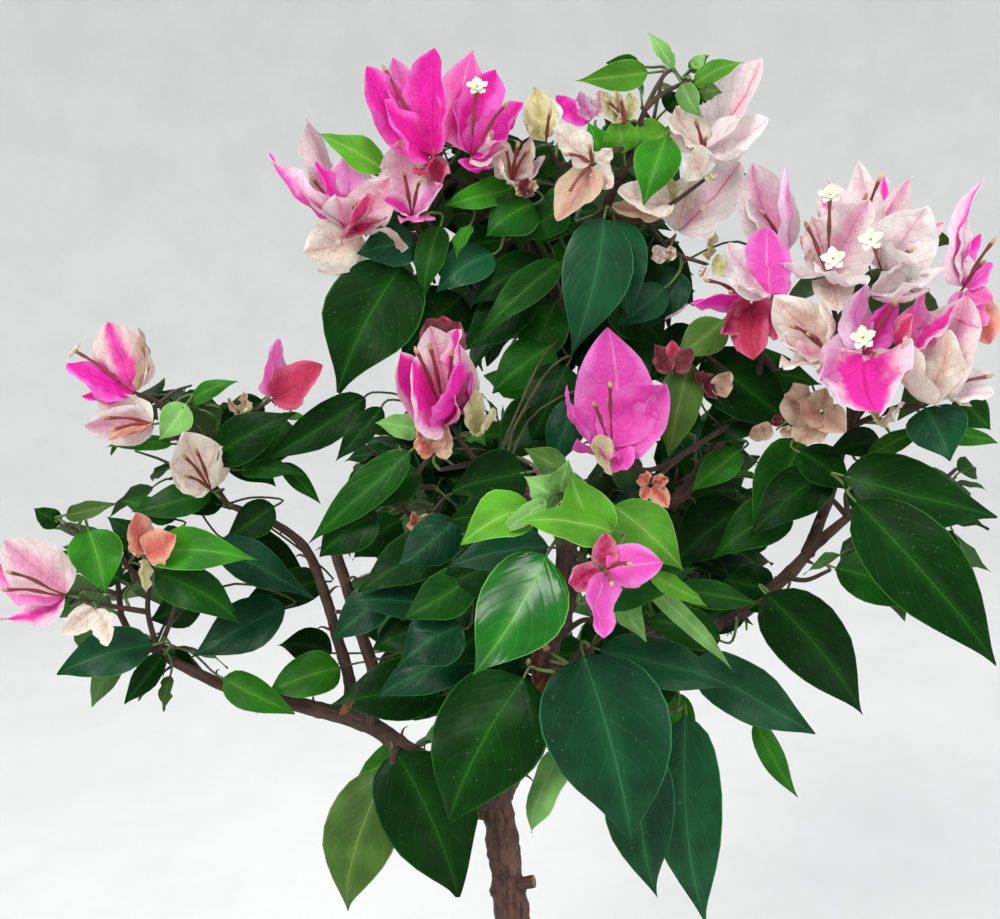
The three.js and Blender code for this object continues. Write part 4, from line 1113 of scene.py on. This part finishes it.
class Mass:
    """One mass of foliage: its stems, shoots, leaves and blooms."""

    def __init__(self, name):
        self.name = name
        self.limb, middle, reach, self.shoots = MASSES[name]
        self.middle, self.reach = seen(middle), np.array(reach, float)
        self.draw = seeded(name)
        self.joints = []
        self.spray = 0
        self.free = False  # whether its leaves may stand outside its space

    def holds(self, place):
        inside = np.all(place > BOX[0] - BOX_MARGIN) and np.all(place < BOX[1] + BOX_MARGIN)
        hollow = 0.0
        if self.name in BACK:
            hollow = max(0.0, noise.noise(Vector(place * BACK_HOLLOW["scale"]))) * BACK_HOLLOW["depth"]
        return inside and (self.free or np.linalg.norm((place - self.middle) / self.reach) < 1 - hollow)

    def joints_of(self, places):
        """Joints lie on the straight runs between the three places of a twig."""
        made = []
        for share in JOINTS:
            run = 0 if share < 0.5 else 1
            start, end = places[run], places[run + 1]
            made.append((start + (end - start) * (2 * share - run), unit(end - start)))
        return made

    def grow(self):
        places = [seen(p) for p in LIMBS[self.limb][0][-2:]]
        way = unit(places[1] - places[0])
        start = places[1] - way * 2
        bend = places[1] + way * (2 * GAP + STEM["straight"])
        stem = [start, bend, bend + (self.middle - bend) * STEM["depth"]]
        path = smooth(stem, 16)
        tube(piece("twigs"), path, np.linspace(STEM["radius"], TWIG["foot"], len(path)), 10)
        self.joints += self.joints_of(stem)[1:]
        for row in STEMS.get(self.name, []):
            path = smooth([seen(p) for p in row], STEM["rings"] * len(row))
            tube(piece("twigs"), path, np.linspace(1.4, 0.8, len(path)), 9)
            ways = unit(np.gradient(path, axis=0))
            self.joints += [(path[i], ways[i]) for i in range(2, len(path), 3)] + [(path[-1], ways[-1])]

    def nearest(self, place):
        return min(self.joints, key=lambda joint: np.linalg.norm(joint[0] - place))

    def shoot_to(self, place):
        """The three places of a twig to a place, by the source's rule."""
        at, way = self.nearest(place)
        distance = np.linalg.norm(place - at)
        swing = at + (place - at) * TWIG["bend"] + way * TWIG["swing"] * distance
        return [at, swing, place + unit(place - swing) * TWIG["past"]]

    def carry(self, place, thick, end=None):
        """A green stalk from the nearest joint to a place, held back from the viewer, and on to its end."""
        at, way = self.nearest(place)
        distance = np.linalg.norm(place - at)
        back = unit(place - EYE) * STALK["back"] * distance
        lift = upward(STALK["arch"] * distance)
        middle = (at + place) / 2 + way * TWIG["swing"] * distance + back + lift
        path = smooth([at, middle, place] + ([end] if end is not None else []), STALK["rings"])
        long = distance > STALK["longest"]
        radii = np.linspace(0.7 * thick if long else thick, 0.6 * thick, STALK["rings"])
        tube(piece("stalks"), path, radii, 6, int(long))

    def leaf(self, root, foot, tip, width, face, kind):
        LEAF_ROWS.append((foot, tip, width, face, kind, False))
        sag = upward(STALK["sag"] * np.linalg.norm(foot - root))
        places = [root, (root + foot) / 2 + sag, foot + unit(tip - foot) * 1.5]
        tube(piece("stalks"), smooth(places, 4), np.linspace(0.6, 0.4, 4), 4)

    def named_leaves(self):
        for (kind,), *rows in LEAVES.get(self.name, []):
            for row in rows:
                foot, tip, width = seen(row[:3]), seen(row[3:6]), row[6]
                turn = math.radians(row[7]) if len(row) > 7 else 0.0
                along = unit(tip - foot)
                face = face_to_viewer(foot)
                face = swung(face, np.cross(along, face), turn)
                LEAF_ROWS.append((foot, tip, width, face, kind, True))
                self.carry(foot - along * 5 + unit(foot - EYE) * 3, 0.85, foot + along * 2.5)
                NAMED.add(foot, tip, 0.36 * width)

    def named_blooms(self):
        for heart, *rows in BLOOMS.get(self.name, []):
            heart = seen(heart)
            self.carry(heart, 0.8)
            bracts = [(seen(row[:3]), *row[3:]) for row in rows if len(row) == 5]
            tips = [tip for tip, _, _ in bracts]
            inward = unit(sum(unit(tip - heart) for tip in tips))
            axis = unit(face_to_viewer(heart) + BRACT["inward"] * inward)
            for tip, tint, ratio in bracts:
                length = np.linalg.norm(tip - heart)
                face = turned(heart, tip, axis, ratio, sum(tips) / len(tips))
                add_bract(heart, tip, max(ratio, BRACT["least"]) * length, face, tint)
                NAMED.add(heart, tip, 0.34 * ratio * length)
            for row in rows:
                if len(row) < 5:
                    add_tube(heart, seen(row[:3]), "star" in row)

    def fill(self):
        self.shoot_out(self.shoots)

    def fill_more(self):
        self.shoot_out(MORE_SHOOTS.get(self.name, 0))

    def shoot_out(self, shoots):
        """Shoots to places spread evenly in the mass's space, with leaves and side twigs."""
        turn = self.draw() * 2 * math.pi
        for i in range(shoots):
            height = 1 - 2 * (i + 0.5) / shoots
            around = turn + i * math.pi * GOLDEN
            flat = math.sqrt(1 - height * height)
            share = SHOOT["near"] + (SHOOT["far"] - SHOOT["near"]) * self.draw()
            way = np.array([flat * math.cos(around), flat * math.sin(around), height])
            tip = self.middle + way * self.reach * share
            places = self.shoot_to(tip)
            path = smooth(places, 9)
            if in_window(path[5:], 3) or NAMED.hides(path[2:], *TWIG_CLEAR):
                continue
            shoot = self.joints_of(places)
            if not self.leaves_on(shoot, 1.0):
                continue
            tube(piece("twigs"), path, np.linspace(TWIG["foot"], TWIG["tip"], len(path)), 7)
            self.joints += shoot
            self.finer(shoot)
            if self.name in BACK and i % BACK_BLOOM_EVERY == 0:
                self.spare_bloom(*shoot[-1], i)

    def finer(self, shoot):
        """Side twigs from the joints of a shoot, each with its own smaller leaves."""
        for at, way in shoot:
            turn = self.draw() * 2 * math.pi
            radial = np.array([math.cos(turn), math.sin(turn), 0.3 * self.draw()])
            heading = unit(swung(way, square_to(way, radial), math.radians(FINE["open"])))
            length = FINE["length"] * (FINE["least"] + FINE["vary"] * self.draw())
            end = at + heading * length
            path = smooth([at, at + heading * length * 0.5 + upward(FINE["arch"]), end], 6)
            clear = self.holds(at + heading * length * FINE["past"]) and not in_window(path[3:], 2)
            if clear and not NAMED.hides(path, *TWIG_CLEAR):
                joints = [(at + (end - at) * share, heading) for share in FINE["shares"]]
                if self.leaves_on(joints, FINE["leaf"]):
                    tube(piece("twigs"), path, np.linspace(FINE["foot"], FINE["tip"], len(path)), 6, 1)

    def clothe(self):
        """Leafy side twigs along the upper part of the bough of each mass behind."""
        if self.name not in BACK:
            return
        self.free = True
        path = smooth([seen(p) for p in LIMBS[self.limb][0][1:]], 30)
        ways = unit(np.gradient(path, axis=0))
        self.finer([(path[i], ways[i]) for i in range(12, 29, 3)])

    def leaves_on(self, shoot, scale):
        """Sets leaves at a shoot's joints where they are clear, and says how many."""
        start = self.draw() * 360
        kind = SPRAY_KINDS[self.spray % len(SPRAY_KINDS)]
        self.spray += 1
        made = 0
        for k, (at, along) in enumerate(shoot):
            for n in range(LEAF_SET["at_tip"] if k == len(shoot) - 1 else 1):
                turn = math.radians(start + (k + n) * LEAF_SET["turn"])
                size = scale * LEAF["length"] * (1 - LEAF["shrink"] * self.draw())
                size *= LEAF_SET["second"] if n else 1
                size *= BACK_LEAF if self.name in BACK else 1
                lean = math.radians(LEAF_SET["second_open"] if n else LEAF_SET["open"])
                radial = square_to(along, np.array([math.cos(turn), math.sin(turn), 0]))
                heading = unit(swung(along, radial, lean) - upward(LEAF_SET["hang"]))
                foot = at + heading * STALK["plain"]
                way = heading - upward(LEAF_SET["droop"])
                outward = unit((at - self.middle) * np.array([1, 1, 0]))
                face = np.array([0.5 * self.draw() - 0.25, 0.5 * self.draw() - 0.25, 0.75])
                face = face + outward * LEAF_SET["outward"]
                for share in LEAF_SET["shares"]:
                    tip = foot + way * size * share
                    width = size * share * LEAF["ratio"]
                    spine = foot + (tip - foot) * SPINE
                    if self.holds(tip) and not in_window(spine, 3) and not NAMED.hides(spine, 0.3 * width):
                        self.leaf(at, foot, tip, width, face, kind)
                        made += 1
                        break
        return made

    def spare_bloom(self, at, way, index):
        """A bloom behind, at a shoot's tip, unless it would face the viewer."""
        out = unit(unit(at - self.middle) + upward(BRACT["lift"]))
        if out @ unit(EYE - at) > BRACT["facing"]:
            return
        across = unit(np.cross(out, way))
        for k in range(BRACT["count"]):
            turn = 2 * math.pi * k / BRACT["count"]
            spread = swung(across, np.cross(out, across), turn)
            tip = at + spread * BRACT["spread"] + out * BRACT["rise"]
            tint = BACK_TINTS[index // BACK_BLOOM_EVERY % len(BACK_TINTS)]
            add_bract(at, tip, BRACT["ratio"] * np.linalg.norm(tip - at), out, tint)
            add_tube(at, at + out * BRACT["tube_rise"] + spread * BRACT["tube_spread"], k == 0)


BRACT_ROWS = []  # foot, tip, width, face, tint
LEAVES_A_PIECE = 1400

# The ends between which each leaf's and bract's own form is drawn
LEAF_FORM = {
    "fold": (0.06, 0.34), "skew": (-0.5, 0.5), "cup": (0.0, 0.26), "curl": (-0.05, 0.16),
    "wave": (0.04, 0.15), "waves": (1.2, 2.6), "arch": (0.02, 0.12), "bow": (-0.05, 0.05),
    "twist": (-0.5, 0.5), "hook": (0.0, 0.1), "crumple": (0.3, 1.0), "power": (0.85, 1.15),
}
BRACT_FORM = {
    "fold": (0.08, 0.4), "skew": (-0.5, 0.5), "cup": (-0.34, 0.14), "curl": (-0.1, 0.3),
    "wave": (0.05, 0.18), "waves": (1.2, 2.8), "arch": (-0.16, 0.0), "bow": (-0.05, 0.05),
    "twist": (-0.35, 0.35), "crumple": (0.8, 1.8), "power": (0.75, 1.1),
}
STAR_FORM = {"fold": 0.35, "cup": 0.0, "wave": 0.22, "waves": 2.5, "arch": -0.14}
STAR = {"long": 4.2, "short": 2.6, "width": 3.4, "lobes": 10}
FLOWER = {
    "longest": 22.0, "arch": 1.2, "foot": 0.45, "bud": [0.7, 0.9, 0.8, 0.5, 0.1],
    "tube": [0.4, 0.55, 0.8, 0.92, 0.8, 0.62, 0.6, 0.74, 0.86, 0.6], "eye": [0.8, 0.95, 0.8, 0.5, 0.1],
}
STAR_STATIONS, STAR_ACROSS = np.linspace(0, 1, 5), np.linspace(-1, 1, 4)
STAR_PROFILE = ([0, 0.35, 0.6, 0.85, 1], [0.4, 0.85, 1.0, 0.6, 0.05])
NAMED_ACROSS = np.array([-1, -0.97, -0.66, -0.33, -0.022, 0.022, 0.33, 0.66, 0.97, 1])
NAMED_STATIONS = np.array([0, 0.03, 0.08, 0.15, 0.24, 0.34, 0.45, 0.56, 0.67, 0.77, 0.85, 0.91, 0.96, 1])
RULE_ACROSS = np.array([-1, -0.96, -0.5, -0.03, 0.03, 0.5, 0.96, 1])
RULE_STATIONS = np.array([0, 0.06, 0.17, 0.34, 0.54, 0.73, 0.88, 1])
BRACT_ACROSS = np.linspace(-1, 1, 13)
BRACT_STATIONS = np.array([0, 0.04, 0.1, 0.18, 0.27, 0.36, 0.46, 0.56, 0.66, 0.75, 0.83, 0.9, 0.95, 0.98, 1])
LEAF_PROFILE = ([0, 0.03, 0.08, 0.17, 0.3, 0.43, 0.57, 0.71, 0.82, 0.9, 0.955, 1],
    [0.05, 0.34, 0.63, 0.88, 1.0, 0.98, 0.85, 0.6, 0.34, 0.16, 0.07, 0.01])
BRACT_PROFILE = ([0, 0.03, 0.08, 0.17, 0.3, 0.46, 0.6, 0.73, 0.84, 0.92, 0.97, 1],
    [0.06, 0.38, 0.68, 0.91, 1.0, 0.98, 0.89, 0.72, 0.5, 0.28, 0.12, 0.01])


def turned(heart, tip, axis, ratio, middle):
    """The face of a bract that is seen narrow: it is turned about its own length, inwards."""
    along = unit(tip - heart)
    face = square_to(along, axis)
    side = np.cross(along, face)
    turn = math.acos(min(1.0, ratio / BRACT["least"]))
    if side @ (middle - (heart + tip) / 2) <= 0:
        turn = -turn
    return swung(face, side, turn)


def add_bract(heart, tip, width, axis, tint):
    BRACT_ROWS.append((heart + unit(tip - heart) * 1.5, tip, width, axis, tint))


def add_tube(heart, end, star):
    """A flower tube, closed or open in a small white star."""
    way = unit(end - heart)
    start = end - way * min(np.linalg.norm(end - heart), FLOWER["longest"])
    bend = (start + end) / 2 + upward(FLOWER["arch"])
    tube(piece("flower_tubes"), smooth([start, bend, end], len(FLOWER["tube"])), FLOWER["tube"], 8)
    tube(piece("flower_tubes"), smooth([heart, (heart + start) / 2, start], 4), FLOWER["foot"], 5)
    if not star:
        tube(piece("flower_tubes"), end + way * np.linspace(-1.5, 1.8, 5)[:, None], FLOWER["bud"], 8, 1)
        return
    look = unit(way + 0.9 * face_to_viewer(end) * (1 if (EYE - end) @ way > -0.2 else 0))
    side = unit(np.cross(look, [0.3, 0.2, 1.0]))
    up = np.cross(look, side)
    lobes = STAR["lobes"]
    turns = 2 * np.pi * np.arange(lobes) / lobes
    spokes = np.cos(turns)[:, None] * side + np.sin(turns)[:, None] * up
    inner = np.arange(lobes) % 2 == 1
    far = np.where(inner, STAR["short"], STAR["long"])[:, None]
    feet = end + way * 0.6 + spokes * 0.5
    tips = feet + spokes * far + look * np.where(inner, 1.6, 0.6)[:, None]
    width = np.where(inner, 0.7, 1.0) * STAR["width"]
    blades(piece("stars"), feet, tips, width, np.tile(look, (lobes, 1)), STAR_FORM, STAR_PROFILE,
        STAR_STATIONS, STAR_ACROSS, 0, np.full(lobes, 0.5))
    tube(piece("stars"), end + look * np.linspace(-0.6, 1.3, 5)[:, None], FLOWER["eye"], 7, 1)


def make_leaves():
    rng = np.random.default_rng(SEEDS["leaves"])
    for kind in LEAF_KINDS:
        materials = leaf_materials(kind)
        for named in (True, False):
            rows = [row for row in LEAF_ROWS if row[4] == kind and row[5] == named]
            across = NAMED_ACROSS if named else RULE_ACROSS
            stations = NAMED_STATIONS if named else RULE_STATIONS
            columns = len(across) - 1
            strips = np.zeros(columns, int)
            strips[[0, -1]] = 1
            strips[columns // 2] = 2
            for first in range(0, len(rows), LEAVES_A_PIECE):
                some = rows[first:first + LEAVES_A_PIECE]
                foot, tip, width, face = (np.array([row[i] for row in some], float) for i in range(4))
                form = {key: rng.uniform(*ends, len(some)) for key, ends in LEAF_FORM.items()}
                tones = rng.uniform(0.2, 0.8, len(some))
                made = Piece()
                blades(made, foot, tip, width, face, form, LEAF_PROFILE, stations, across, 0, tones, strips)
                title = f"leaves_{kind}" if named else f"crown_{kind}_{first // LEAVES_A_PIECE}"
                made.make(title, materials, "foliage")


def make_bracts():
    rng = np.random.default_rng(SEEDS["bracts"])
    tints = list(BRACT_TINTS)
    foot, tip, width, face = (np.array([row[i] for row in BRACT_ROWS], float) for i in range(4))
    n = len(BRACT_ROWS)
    face = unit(face + rng.normal(0, 0.12, (n, 3)))
    form = {key: rng.uniform(*ends, n) for key, ends in BRACT_FORM.items()}
    tones = rng.uniform(0.1, 0.9, n)
    slots = np.array([tints.index(row[4]) for row in BRACT_ROWS])
    made = Piece()
    blades(made, foot, tip, width, face, form, BRACT_PROFILE, BRACT_STATIONS, BRACT_ACROSS, slots, tones)
    made.make("bracts", [bract_material(tint) for tint in tints], "foliage")


# Pot and soil


def lathe(target, profile, segments):
    """Adds the profile turned about the upright axis."""
    turn = round_angles(segments)
    r, z = np.array(profile).T
    places = np.stack([r[:, None] * np.cos(turn), r[:, None] * np.sin(turn), z[:, None] + 0 * turn], -1)
    corners, maps = grid(len(profile), segments, closed=True)
    target.add(places.reshape(-1, 3), corners, maps)


def rounded(profile, radius, steps):
    """The profile with each inner corner turned to an arc."""
    made = [profile[0]]
    for before, at, after in zip(profile, profile[1:], profile[2:]):
        before, at, after = (np.array(p, float) for p in (before, at, after))
        cut = min(radius, 0.45 * np.linalg.norm(before - at), 0.45 * np.linalg.norm(after - at))
        a, b = at + unit(before - at) * cut, at + unit(after - at) * cut
        for t in np.linspace(0, 1, steps):
            made.append(((1 - t) ** 2 * a + 2 * t * (1 - t) * at + t**2 * b).tolist())
    return made + [profile[-1]]


def pot_material():
    m = Nodes("clay")
    where = m.own()
    broad = m.noise(14.0, 5.0, 0.6)
    fine = m.noise(260.0, 4.0, 0.6)
    shade = m.mix(m.ramp(broad, 0.3, 0.7), srgb(160, 88, 58), srgb(196, 120, 84))
    low = m.ramp(m.parts(where)[2], 0.085, 0.0, 0.0, 0.8)
    salt = m.math("MULTIPLY", low, m.ramp(m.noise(30.0, 6.0, 0.7), 0.46, 0.66))
    shade = m.mix(salt, shade, srgb(216, 196, 178))
    shade = m.mix(m.ramp(fine, 0.58, 0.7, 0.0, 0.35), shade, srgb(120, 64, 44))
    lines = m.new("TexWave", 1, {"bands_direction": "Z"}, Vector=where, Scale=120.0, Distortion=0.6)
    height = m.math("ADD", m.math("MULTIPLY", lines, 0.35), fine)
    return m.finish(shade, m.ramp(broad, 0.3, 0.7, 0.88, 0.76), m.bump(height, 0.0004, 0.6))


def make_pot():
    p = POT
    band = p["height"] - p["rim_height"]
    profile = [
        [0.01, 0.0],
        [p["foot"], 0.0],
        [p["waist"], band - p["step"]],
        [p["rim"], band + p["lip"]],
        [p["rim"], p["height"] - 1.5 * p["lip"]],
        [p["rim"] - p["lip"], p["height"]],
        [p["bore"], p["height"]],
        [p["waist"] - p["wall"], band - p["step"]],
        [p["foot"] - p["wall"], p["floor"]],
        [0.01, p["floor"]],
    ]
    made = Piece()
    lathe(made, rounded(profile, p["corner"], p["steps"]), p["segments"])
    made.make("clay_pot", [pot_material()], "clay", ["pot"])


def make_soil():
    """A rough top, strewn with crumbs and grit."""
    rng = np.random.default_rng(SEEDS["soil"])
    _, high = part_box("soil")
    edge = high.x / MM - SOIL["inset"]
    radii = np.concatenate([[0.5], np.linspace(4, edge, SOIL["rings"])])
    turn = round_angles(SOIL["sides"])
    x, y = radii[:, None] * np.cos(turn), radii[:, None] * np.sin(turn)
    flat = np.stack([x, y, 0 * x], -1).reshape(-1, 3)
    rise = SOIL["rough"] * relief(flat, 0.07, 0.8, 2.2)
    top = flat + upward(1.0) * (SOIL_LEVEL - SOIL["sink"] + rise)[:, None]
    corners, maps = grid(len(radii), len(turn), closed=True)
    made = Piece()
    made.add(top, corners, maps)
    ball = np.linspace(0.15, np.pi - 0.15, 5)
    for _ in range(SOIL["crumbs"]):
        r, a = (edge - 4) * math.sqrt(rng.uniform(0.03, 1)), rng.uniform(0, 2 * np.pi)
        size = rng.uniform(0.7, 2.6)
        at = np.array([r * math.cos(a), r * math.sin(a), SOIL_LEVEL + rng.uniform(-0.6, 0.8)])
        way = unit(rng.normal(size=3))
        path = at - way * np.cos(ball)[:, None] * size * rng.uniform(0.8, 1.8)
        across = np.sin(ball)[:, None] * size * rng.uniform(0.7, 1.15, (5, 6))
        tube(made, path, across, 6, int(rng.uniform() < SOIL["grit"]) + 1, rng.uniform())
    made.make("potting_soil", [plain("soil"), plain("crumb"), plain("grit")], "soil", ["soil"])


# The stage, the lights and the camera


def make_stage():
    """A round floor that bends up to a wall."""
    reach, bend = FLOOR["reach"], FLOOR["bend"]
    turns = np.linspace(0.08, math.pi / 2, 20)
    arc = [[reach + bend * math.sin(turn), bend - bend * math.cos(turn)] for turn in turns]
    profile = [[0.01, 0.0], [reach / 2, 0.0], [reach, 0.0], *arc, [reach + bend, FLOOR["top"]]]
    made = Piece()
    lathe(made, profile, FLOOR["segments"])
    made.make("floor", [plain("floor")])


LAMPS = {  # place and the place it looks at in metres, size, power, colour
    "key": ((-0.9, -1.2, 1.8), (0, 0, 0.45), 1.0, 30.0, (1.0, 0.99, 0.97)),
    "fill": ((1.4, -1.2, 0.9), (0, 0, 0.5), 1.4, 12.0, (0.94, 0.97, 1.0)),
    "sky": ((0.1, 0.7, 2.3), (0, 0, 0.45), 1.6, 16.0, (0.97, 0.99, 1.0)),
}


def make_light():
    """Three broad soft lamps and an even, pale surround."""
    for name, (at, aim, size, power, colour) in LAMPS.items():
        data = bpy.data.lights.new(name, "AREA")
        data.shape, data.size, data.energy, data.color = "DISK", size, power, colour
        made = placed(name, data)
        made.location = at
        made.rotation_euler = (Vector(aim) - Vector(at)).to_track_quat("-Z", "Y").to_euler()
    world = bpy.data.worlds.new("world")
    bpy.context.scene.world = world
    world.use_nodes = True
    surround = world.node_tree.nodes["Background"].inputs
    surround["Color"].default_value = (0.93, 0.95, 0.97, 1.0)
    surround["Strength"].default_value = 0.9
    bpy.context.scene.view_settings.view_transform = "Standard"


def make_camera():
    data = bpy.data.cameras.new("camera")
    data.sensor_width = SENSOR
    data.lens = SENSOR * VIEWER["focal"] / IMAGE_WIDTH
    camera = placed("camera", data)
    turn = Matrix((RIGHT, UP, -FORWARD)).transposed().to_4x4()
    camera.matrix_world = Matrix.Translation(Vector(EYE * MM)) @ turn
    bpy.context.scene.camera = camera


make_camera()
grow_trunk()
grow_boughs()
masses = [Mass(name) for name in MASSES]
for step in (Mass.grow, Mass.named_blooms, Mass.named_leaves, Mass.fill, Mass.fill_more, Mass.clothe):
    for mass in masses:
        step(mass)

green_twig = plain("green_twig")
for name, materials, slot, nodes in (
    ("trunk_bark", [bark_material("bark"), plain("cut_wood")], "bark", ["trunk"]),
    ("bough_bark", [bark_material("bough_bark")], "bark", list(LIMBS)),
    ("thorns", [plain("thorn")], "bark", []),
    ("twigs", [bark_material("young_bark"), green_twig], "bark", list(MASSES)),
    ("stalks", [plain("stalk"), green_twig], "foliage", []),
    ("flower_tubes", [plain("tube"), plain("tube_tip")], "foliage", []),
    ("stars", [plain("star"), plain("eye")], "foliage", []),
):
    piece(name).make(name, materials, slot, nodes)
make_leaves()
make_bracts()
make_pot()
make_soil()
make_stage()
make_light()
